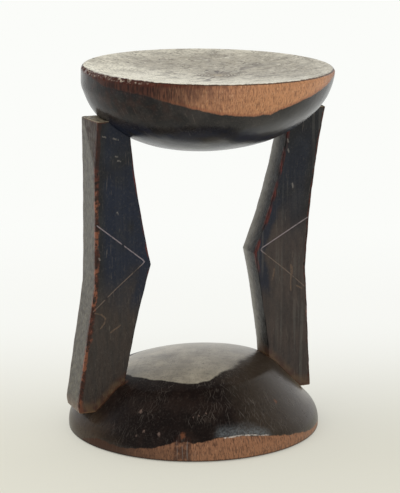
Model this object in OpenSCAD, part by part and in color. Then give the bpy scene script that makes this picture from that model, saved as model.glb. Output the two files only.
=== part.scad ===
// Carved wooden stool, cut from one log of dark-stained wood: a dished round seat with a
// bowl-shaped underside, two broad legs with an elbow on their inner edge, and a domed base.
// Millimetres, +Z up. The origin lies on the floor under the middle of the base.
// The legs stand side by side along X, and the front of the stool faces -Y.

/* [Overall] */
// Height of the seat's top edge above the floor
stool_h = 320; // [290:1:360]
// How far the middle of the seat stands off the middle of the base
lean = 12.6; // [0:0.2:18]
// Direction in which the seat stands off, in degrees from +X
lean_dir = -22; // [-60:1:60]

/* [Seat] */
// Radius of the seat at its widest
seat_r = 109; // [100:0.5:125]
// Radius of the rounding along the top edge
rim_round = 4; // [2:0.5:8]
// Width of the edge that the dish leaves standing
rim_w = 2.5; // [1:0.5:6]
// Depth of the dish in the top
dish_deep = 9; // [4:0.5:20]
// Angle at which the top face falls towards the lean
top_fall = 0.8; // [0:0.1:2]
// Depth of the bowl below the seat's widest line
bowl_h = 68; // [56:1:80]
// Radius of the broad round at the bottom of the bowl
bowl_crown_r = 190; // [150:5:210]
// Slope at which the bowl's bottom passes into its flank
bowl_crown_a = 15; // [8:1:20]
// Slope at which the bowl's flank passes into its shoulder
bowl_flank_a = 43; // [36:1:55]
// Angle by which the bowl's underside rises towards the lean
bowl_tilt = 3.2; // [0:0.1:5]

/* [Base] */
// Radius of the base at its widest
base_r = 111.2; // [100:0.1:125]
// Radius of the base where it meets the floor
base_floor_r = 110.8; // [96:0.1:111]
// Height of the base's widest line above the floor
base_rim_h = 4; // [3:0.5:10]
// Radius of the shoulder between the base's widest line and its flank
base_shoulder_r = 23; // [18:0.5:36]
// Slope of the flank
flank_a = 46; // [40:1:50]
// Height of the top of the dome above the floor
dome_h = 64; // [54:0.5:72]
// Radius of the broad round on top of the dome
dome_crown_r = 220; // [160:5:300]
// How far the dome's top stands off the middle of the base, towards the lean
dome_off = 10; // [0:1:16]

/* [Legs] */
// Thickness of the left leg, front to back
leg_left_t = 33; // [22:1:44]
// Thickness of the right leg, front to back
leg_right_t = 27; // [22:1:44]
// Height of the legs' outer feet above the floor
foot_h = 25; // [20:1:30]
// How far the left leg's outer foot stands out past the base's radius
foot_left_out = 1.5; // [-4:0.1:3]
// How far the right leg's outer foot stands out past the base's radius
foot_right_out = -0.6; // [-4:0.1:3]
// How far the middle of the two feet stands to the left of the base's middle
foot_shift = 2.2; // [0:0.1:5]
// How far the middle between the legs bows out to the left at half height
mid_bow = 1.3; // [0:0.1:3]
// Depth of the legs' top ledges below the seat's top edge
ledge_drop = 41; // [34:1:46]
// How far the top ledges stand inside the seat's radius
ledge_inset = 1; // [0:0.2:5]
// Height of the waist, where the outer faces are set in most
waist_h = 135; // [115:1:160]
// Half of the distance between the waists
waist_half = 99.8; // [94:0.2:108]
// Height of the elbows, where the legs come closest
elbow_h = 152; // [130:1:180]
// Half of the gap between the elbows
elbow_half = 49; // [35:1:60]
// Half of the gap between the legs, at the height of the feet
gap_foot_half = 72; // [62:0.5:80]
// Distance from the middle of the gap to the left leg, at the height of the ledges
gap_top_left = 76.5; // [66:0.5:82]
// Distance from the middle of the gap to the right leg, at the height of the ledges
gap_top_right = 74.5; // [66:0.5:82]
// Hollow in both legs' inner edges, from the foot up to the elbow
hollow_low = 2.2; // [0.5:0.1:4]
// Hollow in the left leg's inner edge, from the elbow up
hollow_in_left = 2.2; // [0.5:0.1:6]
// Hollow in the right leg's inner edge, from the elbow up
hollow_in_right = 4.4; // [0.5:0.1:6]
// Hollow in the left leg's outer face, from the waist up
hollow_out_left = 0.8; // [0.5:0.1:5]
// Hollow in the right leg's outer face, from the waist up
hollow_out_right = 2.9; // [0.5:0.1:5]

/* [Hidden] */
$fn = 144;
fine = 720;
stain = "#2b2522";
stain_worn = "#352b26";
seat_x = lean * cos(lean_dir);
seat_y = lean * sin(lean_dir);
seat_line_h = stool_h - rim_round;
ledge_h = stool_h - ledge_drop;
dish_half = seat_r - rim_w;
dish_r = (dish_half ^ 2 + dish_deep ^ 2) / (2 * dish_deep);
tuck_w = base_r - base_floor_r;
tuck_r = (base_rim_h ^ 2 + tuck_w ^ 2) / (2 * tuck_w);
shoulder_end = 72;
seam_turn = 57;
overlap_a = 2;

// Unit vector at angle a from straight up, turning outwards.
function heading(a) = [sin(a), cos(a)];

// The arcs of a cap touch each other at the slopes a1 and a2. The rim radius r and the
// height h then leave one radius for the flank and one for the shoulder.
function cap_span(r, crown_r, a1) = r - crown_r * sin(a1);
function cap_rise(h, crown_r, a1) = h - crown_r * (1 - cos(a1));
function cap_share(a1, a2) =
    (sin(a2) - sin(a1)) * cos(a2) - (1 - sin(a2)) * (cos(a1) - cos(a2));
function flank_r(r, h, crown_r, a1, a2) =
    (cap_span(r, crown_r, a1) * cos(a2) - cap_rise(h, crown_r, a1) * (1 - sin(a2)))
    / cap_share(a1, a2);
function shoulder_r(r, h, crown_r, a1, a2) =
    (cap_rise(h, crown_r, a1) * (sin(a2) - sin(a1)) - cap_span(r, crown_r, a1) * (cos(a1) - cos(a2)))
    / cap_share(a1, a2);

// Slice of a disc between two angles from straight up.
module sector(c, r, a0, a1) {
    intersection() {
        translate(c) circle(r, $fn = fine);
        polygon([c, c + 2 * r * heading(a0), c + 2 * r * heading((a0 + a1) / 2), c + 2 * r * heading(a1)]);
    }
}

// Half section of a low dome from its apex down to its widest line, which lies on y = 0.
// Each smaller arc starts a little early, inside the one before it, so the slices join.
module cap_section(r, h, crown_r, a1, a2, a_end) {
    mid_r = flank_r(r, h, crown_r, a1, a2);
    end_r = shoulder_r(r, h, crown_r, a1, a2);
    c1 = [0, h - crown_r];
    c2 = c1 + (crown_r - mid_r) * heading(a1);
    c3 = c2 + (mid_r - end_r) * heading(a2);
    sector(c1, crown_r, 0, a1);
    sector(c2, mid_r, a1 - overlap_a, a2);
    sector(c3, end_r, a2 - overlap_a, a_end);
}

// Half section of the base without its dome: the edge that tucks in to the floor, the
// shoulder, and the flank carried on to a point.
module base_section() {
    tuck_c = [base_r - tuck_r, base_rim_h];
    shoulder_c = [base_r - base_shoulder_r, base_rim_h];
    flank_p = shoulder_c + base_shoulder_r * heading(flank_a);
    intersection() {
        union() {
            sector(tuck_c, tuck_r, 90, 90 + asin(base_rim_h / tuck_r) + overlap_a);
            sector(shoulder_c, base_shoulder_r, flank_a, 90 + overlap_a);
            polygon([[0, 0], [base_floor_r, 0], tuck_c, shoulder_c, flank_p,
                [0, flank_p[1] + flank_p[0] * tan(flank_a)]]);
        }
        square(2 * base_r);
    }
}

// Half section of the bowl, upside down. Above its shoulder it flares out past the rim,
// which trims it.
module bowl_section() {
    end_r = shoulder_r(seat_r, bowl_h, bowl_crown_r, bowl_crown_a, bowl_flank_a);
    shoulder_c = [seat_r - end_r, 0];
    shoulder_p = shoulder_c + end_r * heading(shoulder_end);
    flare_h = seat_r / 3;
    flare_p = shoulder_p + flare_h * [cos(shoulder_end) / sin(shoulder_end), -1];
    cap_section(seat_r, bowl_h, bowl_crown_r, bowl_crown_a, bowl_flank_a, shoulder_end);
    polygon([[0, flare_p[1]], flare_p, shoulder_p, shoulder_c, [0, 0]]);
}

// Half section of the rim: a round block with a rounded top edge and the dish in its top.
module rim_section() {
    difference() {
        union() {
            translate([0, -bowl_h - seat_r / 4]) square([seat_r, bowl_h + seat_r / 4]);
            square([seat_r - rim_round, rim_round]);
            sector([seat_r - rim_round, 0], rim_round, 0, 90);
        }
        translate([0, rim_round - dish_deep + dish_r]) circle(dish_r, $fn = fine);
    }
}

// Moves a form onto the seat's middle and tilts it along the lean.
module on_seat(tilt) {
    translate([seat_x, seat_y, seat_line_h])
        rotate([0, 0, lean_dir])
            rotate([0, tilt, 0])
                children();
}

module bowl_form() {
    on_seat(-bowl_tilt) mirror([0, 0, 1]) rotate_extrude() bowl_section();
}

// The rim is turned about its own axis, so that its seam doesn't lie on the bowl's.
module rim_form() {
    on_seat(top_fall) rotate([0, 0, seam_turn]) rotate_extrude() rim_section();
}

// The flank runs round the middle of the base, and the dome's broad top, which stands off
// it, trims the point away.
module dome_form() {
    intersection() {
        rotate_extrude() base_section();
        translate([dome_off * cos(lean_dir), dome_off * sin(lean_dir), dome_h - dome_crown_r])
            sphere(dome_crown_r, $fn = fine);
    }
}

// Share of the way from the feet up to the ledges.
function climb(z) = (z - foot_h) / (ledge_h - foot_h);

// Point on a leg's outline: side is 1 for the right leg and -1 for the left one, and the
// middle between the legs moves with the lean from the feet up to the ledges.
function mid_x(z) =
    -foot_shift + (seat_x + foot_shift) * climb(z) - 4 * mid_bow * climb(z) * (1 - climb(z));
function leg_point(side, half, z) = [mid_x(z) + side * half, z];
ledge_half = seat_r - ledge_inset;

// Disc that hollows the edge from a up to b. Its middle lies off the edge, towards side.
module hollow(a, b, deep, side) {
    r = (norm(b - a) ^ 2 / 4 + deep ^ 2) / (2 * deep);
    off = side * [b[1] - a[1], a[0] - b[0]] / norm(b - a);
    intersection() {
        translate((a + b) / 2 + (r - deep) * off) circle(r, $fn = 4 * fine);
        translate([-2 * base_r, a[1]]) square([4 * base_r, b[1] - a[1]]);
    }
}

module leg_outline(side, foot_half, gap_top_half, hollow_in, hollow_out) {
    foot_in = leg_point(side, gap_foot_half, foot_h);
    foot_out = leg_point(side, foot_half, foot_h);
    waist = leg_point(side, waist_half, waist_h);
    ledge_out = leg_point(side, ledge_half, ledge_h);
    ledge_in = leg_point(side, gap_top_half, ledge_h);
    elbow = leg_point(side, elbow_half, elbow_h);
    difference() {
        polygon([foot_in, foot_out, waist, ledge_out, ledge_in, elbow]);
        hollow(foot_in, elbow, hollow_low, -side);
        hollow(elbow, ledge_in, hollow_in, -side);
        hollow(waist, ledge_out, hollow_out, side);
    }
}

// A leg is a slab cut to the outline given to it, with its ends fitted to the bowl and the dome.
module leg(thick) {
    difference() {
        rotate([90, 0, 0]) linear_extrude(thick, center = true) children();
        bowl_form();
        dome_form();
    }
}

module seat() {
    color(stain_worn) intersection() {
        bowl_form();
        rim_form();
    }
}

module left_leg() {
    color(stain) leg(leg_left_t)
        leg_outline(-1, base_r + foot_left_out, gap_top_left, hollow_in_left, hollow_out_left);
}

module right_leg() {
    color(stain) leg(leg_right_t)
        leg_outline(1, base_r + foot_right_out, gap_top_right, hollow_in_right, hollow_out_right);
}

module base() {
    color(stain_worn) dome_form();
}

seat();
left_leg();
right_leg();
base();
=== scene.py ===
"""Looks of a low carved wooden stool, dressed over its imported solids.

The stool is cut from one log: a dished round seat with a bowl-shaped underside, two broad
legs with an elbow on their inner edge, and a domed base. It is stained dark, and bare wood
shows in a crescent below the seat's edge and in a band along the foot. Every length here is
in metres, in the frame of the solids: +Z up, the legs side by side along X, the front
facing -Y.
"""

import functools
import logging
import math
from dataclasses import dataclass
from enum import Enum
from typing import Sequence, Union

import bpy
import numpy as np
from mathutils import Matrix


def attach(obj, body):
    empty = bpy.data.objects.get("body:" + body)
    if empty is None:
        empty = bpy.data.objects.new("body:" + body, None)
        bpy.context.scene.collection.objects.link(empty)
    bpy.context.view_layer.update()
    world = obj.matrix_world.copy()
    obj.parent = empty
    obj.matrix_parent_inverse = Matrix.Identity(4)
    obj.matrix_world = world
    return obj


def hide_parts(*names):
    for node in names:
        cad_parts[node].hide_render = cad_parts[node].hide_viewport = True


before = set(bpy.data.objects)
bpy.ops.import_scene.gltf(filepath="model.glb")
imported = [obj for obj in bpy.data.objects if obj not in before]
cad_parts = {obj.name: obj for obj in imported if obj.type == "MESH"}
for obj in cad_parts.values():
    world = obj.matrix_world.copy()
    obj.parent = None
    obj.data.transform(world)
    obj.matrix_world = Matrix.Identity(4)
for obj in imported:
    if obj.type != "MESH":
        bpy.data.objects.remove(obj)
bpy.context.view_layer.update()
LOG = logging.getLogger("stool")

Array = np.ndarray
Piece = bpy.types.Object
Material = bpy.types.Material
Socket = bpy.types.NodeSocket
Value = Union[float, Sequence[float], Socket]
Key = Union[str, int]
Point = tuple[float, float]
Place = tuple[float, float, float]
Loop = tuple[Array, Array, Array, Array]

MM = 0.001
UPRIGHT = (0.0, 0.0, 0.0)
# Distance that a mask gives where nothing is near, and height of a bare patch's edge where there is no patch
FAR = 0.02
BURIED = -0.004


class Slot(Enum):
    """Finishes that the record names for the stool's members."""

    SEAT = "seat_wood"
    LEG = "leg_wood"
    BASE = "base_wood"


class Side(Enum):
    """Which of the two legs is meant, as the sign of its place along X."""

    LEFT = -1
    RIGHT = 1


# Shapes


def arc(centre: Point, radius: float, start: float, end: float, count: int = 24) -> Array:
    """Points on an arc, as (radius, height) rows, between two angles from straight up that turn outwards."""
    angle = np.radians(np.linspace(start, end, count))
    return np.stack([centre[0] + radius * np.sin(angle), centre[1] + radius * np.cos(angle)], axis=1)


def heading(degrees: float) -> Array:
    """Unit vector at an angle from straight up, turning outwards."""
    return np.array([math.sin(math.radians(degrees)), math.cos(math.radians(degrees))])


def smooth_max(a: Array, b: Array, blend: float) -> Array:
    """The larger of a and b, rounded over the width blend where they are close."""
    share = np.clip(0.5 + 0.5 * (a - b) / blend, 0.0, 1.0)
    return b + (a - b) * share + blend * share * (1.0 - share)


def smooth_step(value: Array, low: float, high: float) -> Array:
    """0 below low, 1 above high, and an S-shaped rise between them."""
    t = np.clip((value - low) / (high - low), 0.0, 1.0)
    return t * t * (3.0 - 2.0 * t)


def line_gap(points: Array, line: Sequence[Point]) -> Array:
    """Distance of each point from a bent line.

    Args:
        points: Points, one pair of numbers per row.
        line: The corners of the bent line.

    Returns:
        One distance per point.
    """
    nearest = np.full(points.shape[:-1], np.inf)
    for start, end in zip(line[:-1], line[1:]):
        a, b = np.array(start), np.array(end)
        along = np.clip((points - a) @ (b - a) / ((b - a) @ (b - a)), 0.0, 1.0)
        nearest = np.minimum(nearest, np.linalg.norm(points - a - along[..., None] * (b - a), axis=-1))
    return nearest


def round_angle(points: Array) -> Array:
    """Angle round the upright axis in degrees, from -270 to 90, so that it jumps at the back."""
    angle = np.degrees(np.arctan2(points[..., 1], points[..., 0]))
    return np.where(angle > 90.0, angle - 360.0, angle)


def turned(points: Array, about: Array, degrees: float) -> Array:
    """Points turned about a level axis.

    Args:
        points: Points, one (x, y, z) per row.
        about: Unit vector of the axis.
        degrees: Angle, by the right-hand rule.

    Returns:
        The turned points.
    """
    c, s = math.cos(math.radians(degrees)), math.sin(math.radians(degrees))
    across = np.cross(about, points)
    return points * c + across * s + about * (points @ about)[..., None] * (1.0 - c)


@dataclass(frozen=True)
class Lean:
    """How the seat stands off the base, because the log leaned."""

    off: float = 0.0126
    direction: float = -22.0
    top_fall: float = 0.8
    bowl_tilt: float = 3.2

    @property
    def way(self) -> Array:
        """Level unit vector towards which the seat stands off."""
        angle = math.radians(self.direction)
        return np.array([math.cos(angle), math.sin(angle), 0.0])

    @property
    def axis(self) -> Array:
        """Level axis that a tilt along the lean turns about."""
        return np.array([-self.way[1], self.way[0], 0.0])


@dataclass(frozen=True)
class BowlShape:
    """The seat's underside, as three arcs that touch each other."""

    radius: float = 0.109
    depth: float = 0.068
    crown_radius: float = 0.19
    crown_slope: float = 15.0
    flank_slope: float = 43.0
    shoulder_end: float = 72.0

    def section(self) -> Array:
        """Half section from the bottom up past the rim.

        Returns:
            The points, one (radius, height) per row.
        """
        a1, a2 = math.radians(self.crown_slope), math.radians(self.flank_slope)
        span = self.radius - self.crown_radius * math.sin(a1)
        rise = self.depth - self.crown_radius * (1.0 - math.cos(a1))
        wider, lower = math.sin(a2) - math.sin(a1), math.cos(a1) - math.cos(a2)
        share = wider * math.cos(a2) - (1.0 - math.sin(a2)) * lower
        flank = (span * math.cos(a2) - rise * (1.0 - math.sin(a2))) / share
        shoulder = (rise * wider - span * lower) / share
        c1 = np.array([0.0, self.depth - self.crown_radius])
        c2 = c1 + (self.crown_radius - flank) * heading(self.crown_slope)
        c3 = c2 + (flank - shoulder) * heading(self.flank_slope)
        rows = np.concatenate([
            arc(tuple(c1), self.crown_radius, 0.0, self.crown_slope, 60),
            arc(tuple(c2), flank, self.crown_slope, self.flank_slope, 60)[1:],
            arc(tuple(c3), shoulder, self.flank_slope, self.shoulder_end, 60)[1:],
        ])
        flare = self.radius / 3.0
        lean = 1.0 / math.tan(math.radians(self.shoulder_end))
        last = rows[-1] + flare * np.array([lean, -1.0])
        return np.concatenate([rows, last[None]]) * np.array([1.0, -1.0])


@dataclass(frozen=True)
class DomeShape:
    """The base: a rounded shoulder, a straight flank, and a broad crown that stands off its middle."""

    radius: float = 0.1112
    floor_radius: float = 0.1108
    rim_height: float = 0.004
    shoulder_radius: float = 0.023
    flank_slope: float = 46.0
    height: float = 0.064
    crown_radius: float = 0.22
    crown_off: float = 0.010
    crown_blend: float = 0.004

    def section(self) -> Array:
        """Half section from the middle of the floor face out and up to a point.

        Returns:
            The points, one (radius, height) per row.
        """
        tuck = self.radius - self.floor_radius
        tuck_radius = (self.rim_height**2 + tuck**2) / (2.0 * tuck)
        tuck_angle = 90.0 + math.degrees(math.asin(self.rim_height / tuck_radius))
        under = arc((self.radius - tuck_radius, self.rim_height), tuck_radius, tuck_angle, 90.0, 8)
        middle = (self.radius - self.shoulder_radius, self.rim_height)
        over = arc(middle, self.shoulder_radius, 90.0, self.flank_slope, 32)
        point = over[-1][1] + over[-1][0] * math.tan(math.radians(self.flank_slope))
        return np.concatenate([[[0.0, 0.0]], under, over[1:], [[0.0, point]]])

    def crown_middle(self, lean: Lean) -> Array:
        """Centre of the crown's ball."""
        return self.crown_off * lean.way + np.array([0.0, 0.0, self.height - self.crown_radius])

    def top_at(self, x: Array, y: Array, lean: Lean) -> Array:
        """Height of the base's upper surface.

        Args:
            x: Places along X.
            y: Places along Y.
            lean: How the log leaned.

        Returns:
            Heights above the floor, and far below it past the widest line.
        """
        rows = self.section()[9:][::-1]
        reach = np.hypot(x, y)
        flank = np.interp(reach, rows[:, 0], rows[:, 1], right=-1.0)
        middle = self.crown_middle(lean)
        crown = middle[2] + np.sqrt(self.crown_radius**2 - (x - middle[0]) ** 2 - (y - middle[1]) ** 2)
        return -smooth_max(-flank, -crown, self.crown_blend)


@dataclass(frozen=True)
class SeatPlace:
    """Where the bowl and the rim stand, with the tilts that the carver left in them."""

    lean: Lean
    bowl: BowlShape
    line_height: float = 0.316

    @property
    def middle(self) -> Array:
        """Middle of the seat's widest line."""
        return self.lean.off * self.lean.way + np.array([0.0, 0.0, self.line_height])

    def in_bowl(self, points: Array) -> Array:
        """Points as seen from the tilted bowl."""
        return turned(points - self.middle, self.lean.axis, self.lean.bowl_tilt)

    def in_rim(self, points: Array) -> Array:
        """Points as seen from the tilted rim."""
        return turned(points - self.middle, self.lean.axis, -self.lean.top_fall)

    def underside_at(self, x: Array, y: Array) -> Array:
        """Height of the bowl's underside.

        Args:
            x: Places along X, inside the seat's outline.
            y: Places along Y.

        Returns:
            Heights above the floor.
        """
        rows = self.bowl.section()
        z = np.full(np.shape(x), self.line_height - self.bowl.depth / 2.0)
        for _ in range(12):
            local = self.in_bowl(np.stack([x, y, z], axis=-1))
            reach = np.minimum(np.hypot(local[..., 0], local[..., 1]), 0.98 * self.bowl.radius)
            z = z + np.interp(reach, rows[:, 0], rows[:, 1]) - local[..., 2]
        return z


# Meshes


def linked(name: str, data: bpy.types.ID) -> Piece:
    """A new object with the given data, linked to the scene."""
    made = bpy.data.objects.new(name, data)
    bpy.context.scene.collection.objects.link(made)
    return made


def write_marks(mesh: bpy.types.Mesh, marks: dict[str, Array]) -> None:
    """Keeps values per point as attributes of a mesh, which the finishes read."""
    for name, values in marks.items():
        layer = mesh.attributes.new(name, "FLOAT", "POINT")
        layer.data.foreach_set("value", values.astype(np.float32))
    mesh.update()


def skin_of_rings(name: str, rings: Array, poles: tuple[Array, Array], marks: dict[str, Array]) -> Piece:
    """A closed mesh from rings of points that lie one above the other.

    Args:
        name: Name of the object.
        rings: Points as (ring, place in the ring, 3), each ring counter-clockwise from above.
        poles: The points that close the first and the last ring.
        marks: Values per ring point, kept as attributes of the mesh.

    Returns:
        The object, linked to the scene.
    """
    count, around = rings.shape[:2]
    points = np.concatenate([rings.reshape(-1, 3), np.array(poles)])
    place = np.arange(count * around).reshape(count, around)
    turn = np.roll(place, -1, axis=1)
    quads = np.stack([place[:-1], turn[:-1], turn[1:], place[1:]], axis=-1).reshape(-1, 4)
    low, high = len(points) - 2, len(points) - 1
    bottom = [(low, int(b), int(a)) for a, b in zip(place[0], turn[0])]
    top = [(high, int(a), int(b)) for a, b in zip(place[-1], turn[-1])]
    mesh = bpy.data.meshes.new(name)
    mesh.from_pydata(points.tolist(), [], quads.tolist() + bottom + top)
    write_marks(mesh, {
        mark: np.concatenate([values.reshape(-1), [values[0].mean(), values[-1].mean()]])
        for mark, values in marks.items()
    })
    return linked(name, mesh)


# Node trees


class NodeTree:
    """A node tree under construction, with short calls for its nodes."""

    def __init__(self, tree: bpy.types.NodeTree) -> None:
        """Takes up an empty tree."""
        self.tree = tree
        self.tree.nodes.clear()

    def node(self, kind: str, inputs: dict[Key, Value] | None = None, **settings: object) -> bpy.types.Node:
        """Adds a node.

        Args:
            kind: The node's type.
            inputs: Values or sockets for its inputs, by name or place.
            **settings: Values for its own settings.

        Returns:
            The node.
        """
        made = self.tree.nodes.new(kind)
        for key, value in settings.items():
            setattr(made, key, value)
        for key, value in (inputs or {}).items():
            self.feed(made.inputs[key], value)
        return made

    def feed(self, socket: Socket, value: Value) -> None:
        """Links a socket to another, or sets its value."""
        if isinstance(value, bpy.types.NodeSocket):
            self.tree.links.new(value, socket)
        else:
            socket.default_value = value

    def first(self, kind: str, inputs: dict[Key, Value] | None = None, **settings: object) -> Socket:
        """First output of a new node."""
        return self.node(kind, inputs, **settings).outputs[0]

    def math(self, operation: str, *values: Value) -> Socket:
        """Result of a Math node on its values."""
        return self.first("ShaderNodeMath", dict(enumerate(values)), operation=operation)

    def chain(self, operation: str, values: Sequence[Value]) -> Socket:
        """Result of Math nodes that take in the values one after another."""
        return functools.reduce(functools.partial(self.math, operation), values)

    def plus(self, *values: Value) -> Socket:
        """Sum of the values."""
        return self.chain("ADD", values)

    def less(self, value: Value, taken: Value) -> Socket:
        """The value with another one taken off it."""
        return self.math("SUBTRACT", value, taken)

    def times(self, *values: Value) -> Socket:
        """Product of the values."""
        return self.chain("MULTIPLY", values)

    def over(self, value: Value, by: Value) -> Socket:
        """The value divided by another one."""
        return self.math("DIVIDE", value, by)

    def most(self, *values: Value) -> Socket:
        """The largest of the values."""
        return self.chain("MAXIMUM", values)

    def ranged(self, value: Value, low: Value, high: Value, first: Value = 0.0, last: Value = 1.0,
               **settings: object) -> Socket:
        """A value carried over from the range low to high into the range first to last."""
        return self.first("ShaderNodeMapRange", {0: value, 1: low, 2: high, 3: first, 4: last}, **settings)

    def step(self, value: Value, low: float, high: float) -> Socket:
        """0 at low, 1 at high, and an S-shaped passage between them."""
        return self.ranged(value, low, high, interpolation_type="SMOOTHSTEP")

    def choose(self, share: Value, first: Socket, second: Socket) -> Socket:
        """A shader that goes from first to second as share goes from 0 to 1."""
        return self.first("ShaderNodeMixShader", {0: share, 1: first, 2: second})

    def parts(self, vector: Value) -> Sequence[Socket]:
        """The three parts of a vector."""
        return self.node("ShaderNodeSeparateXYZ", {0: vector}).outputs

    def bundle(self, x: Value, y: Value, z: Value) -> Socket:
        """A vector from its three parts."""
        return self.first("ShaderNodeCombineXYZ", {0: x, 1: y, 2: z})


class GeometryTree(NodeTree):
    """A Geometry Nodes tree with named inputs, run on a piece and taken off it again."""

    def __init__(self, name: str) -> None:
        """Starts an empty tree of that name."""
        super().__init__(bpy.data.node_groups.new(name, "GeometryNodeTree"))
        self.identifiers: dict[str, str] = {}
        self.size("Geometry", "Geometry")
        self.tree.interface.new_socket("Geometry", in_out="OUTPUT", socket_type="NodeSocketGeometry")
        self.entry = self.node("NodeGroupInput")
        self.exit = self.node("NodeGroupOutput")

    def size(self, name: str, kind: str, default: object = None) -> None:
        """Adds a named input of a kind, such as "Float", and the value that it starts with."""
        socket = self.tree.interface.new_socket(name, in_out="INPUT", socket_type=f"NodeSocket{kind}")
        if default is not None:
            socket.default_value = default
        self.identifiers[name] = socket.identifier

    def given(self, name: str) -> Socket:
        """The value of a named input."""
        return self.entry.outputs[name]

    def finish(self, geometry: Socket) -> None:
        """Ends the tree with Realize Instances and Set Material."""
        real = self.first("GeometryNodeRealizeInstances", {"Geometry": geometry})
        dressed = self.first("GeometryNodeSetMaterial", {"Geometry": real, "Material": self.given("Finish")})
        self.feed(self.exit.inputs["Geometry"], dressed)

    def apply(self, piece: Piece, values: dict[str, object]) -> None:
        """Runs the tree on a piece and leaves a plain, smooth-shaded mesh.

        Args:
            piece: The object that the tree works on.
            values: Values for the named inputs.
        """
        modifier = piece.modifiers.new(self.tree.name, "NODES")
        modifier.node_group = self.tree
        for name, value in values.items():
            modifier[self.identifiers[name]] = value
        graph = bpy.context.evaluated_depsgraph_get()
        mesh = bpy.data.meshes.new_from_object(piece.evaluated_get(graph))
        piece.modifiers.remove(modifier)
        old, piece.data = piece.data, mesh
        mesh.name = piece.name
        bpy.data.meshes.remove(old)
        mesh.polygons.foreach_set("use_smooth", [True] * len(mesh.polygons))
        mesh.update()


def tool_marks(tree: GeometryTree, geometry: Socket) -> Socket:
    """Sinks shallow, seeded cuts into a surface, as a carver's blade leaves them.

    Args:
        tree: The tree, which gets the inputs Mark depth, Mark size, Edge depth, Seed and Finish.
        geometry: The surface. Where it has an attribute "edge", it is worn deeper by Edge depth.

    Returns:
        The marked surface. No point is moved outwards, and the face on the floor stays flat.
    """
    for name, start in (("Mark depth", 0.0002), ("Edge depth", 0.0), ("Mark size", 0.016), ("Seed", 1.0)):
        tree.size(name, "Float", start)
    tree.size("Finish", "Material")
    place = tree.first("GeometryNodeInputPosition")
    normal = tree.first("GeometryNodeInputNormal")
    fine = tree.over(1.0, tree.given("Mark size"))
    common = {"Vector": place, "W": tree.given("Seed")}
    wave = tree.first("ShaderNodeTexNoise", common | {"Scale": fine, "Detail": 1.0}, noise_dimensions="4D")
    cut = tree.first("ShaderNodeTexVoronoi", common | {"Scale": fine, "Smoothness": 0.35},
                     voronoi_dimensions="4D", feature="SMOOTH_F1")
    chips = tree.first("ShaderNodeTexNoise", common | {"Scale": tree.times(fine, 2.6), "Detail": 3.0},
                       noise_dimensions="4D")
    chipped = tree.ranged(chips, 0.48, 0.8)
    edge = tree.first("GeometryNodeInputNamedAttribute", {"Name": "edge"}, data_type="FLOAT")
    depth = tree.times(tree.plus(wave, tree.times(cut, 0.5)), tree.given("Mark depth"))
    wear = tree.times(edge, chipped, tree.given("Edge depth"))
    off_floor = tree.ranged(tree.parts(place)[2], 0.0, 2.0 * MM, 0.0, -1.0)
    inwards = tree.times(tree.plus(depth, wear), off_floor)
    offset = tree.first("ShaderNodeVectorMath", {0: normal, "Scale": inwards}, operation="SCALE")
    return tree.first("GeometryNodeSetPosition", {"Geometry": geometry, "Offset": offset})


def carving_tree() -> GeometryTree:
    """The tree that marks and dresses a surface that is already made."""
    tree = GeometryTree("Carved surface")
    tree.finish(tool_marks(tree, tree.given("Geometry")))
    return tree


def dome_tree() -> GeometryTree:
    """The tree that turns the base from its half section and trims it with the crown's ball.

    Returns:
        The tree, with its sizes as named inputs.
    """
    tree = GeometryTree("Domed base")
    for name, kind, start in (
        ("Section", "Object", None), ("Around", "Int", 512), ("Up", "Int", 190), ("Floor share", "Float", 0.3),
        ("Crown middle", "Vector", None), ("Crown radius", "Float", 0.22), ("Crown blend", "Float", 0.006),
    ):
        tree.size(name, kind, start)
    around, up, floor = tree.given("Around"), tree.given("Up"), tree.given("Floor share")
    per_row = tree.plus(around, 1.0)
    grid = tree.first("GeometryNodeMeshGrid", {
        "Size X": 1.0, "Size Y": 1.0, "Vertices X": up, "Vertices Y": per_row,
    })
    index = tree.first("GeometryNodeInputIndex")
    row = tree.math("FLOOR", tree.over(tree.plus(index, 0.5), per_row))
    column = tree.less(index, tree.times(row, per_row))
    share = tree.over(row, tree.less(up, 1.0))
    floor_rows = 0.06
    on_floor = tree.times(tree.over(share, floor_rows), floor)
    way = tree.math("MINIMUM", on_floor, tree.ranged(share, floor_rows, 1.0, floor, 1.0))
    section = tree.node("GeometryNodeObjectInfo", {"Object": tree.given("Section")})
    taken = tree.node("GeometryNodeSampleCurve", {
        "Curves": section.outputs["Geometry"], "Factor": way,
    }, mode="FACTOR", use_all_curves=True).outputs["Position"]
    reach, _, height = tree.parts(taken)
    angle = tree.times(tree.over(column, around), -math.tau)
    x = tree.times(reach, tree.math("COSINE", angle))
    y = tree.times(reach, tree.math("SINE", angle))
    ball_x, ball_y, ball_z = tree.parts(tree.given("Crown middle"))
    off = tree.plus(tree.math("POWER", tree.less(x, ball_x), 2.0), tree.math("POWER", tree.less(y, ball_y), 2.0))
    rise = tree.math("SQRT", tree.less(tree.math("POWER", tree.given("Crown radius"), 2.0), off))
    z = tree.math("SMOOTH_MIN", height, tree.plus(ball_z, rise), tree.given("Crown blend"))
    shaped = tree.first("GeometryNodeSetPosition", {"Geometry": grid, "Position": tree.bundle(x, y, z)})
    closed = tree.first("GeometryNodeMergeByDistance", {"Geometry": shaped, "Distance": 0.01 * MM})
    tree.finish(tool_marks(tree, closed))
    return tree


# Finishes


def linear(code: str) -> tuple[float, float, float, float]:
    """A colour given as "#rrggbb", as the shaders take it: red, green, blue and 1, in linear light."""
    parts = [int(code[k:k + 2], 16) / 255.0 for k in (1, 3, 5)]
    return (*[p / 12.92 if p <= 0.04045 else ((p + 0.055) / 1.055) ** 2.4 for p in parts], 1.0)


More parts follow.
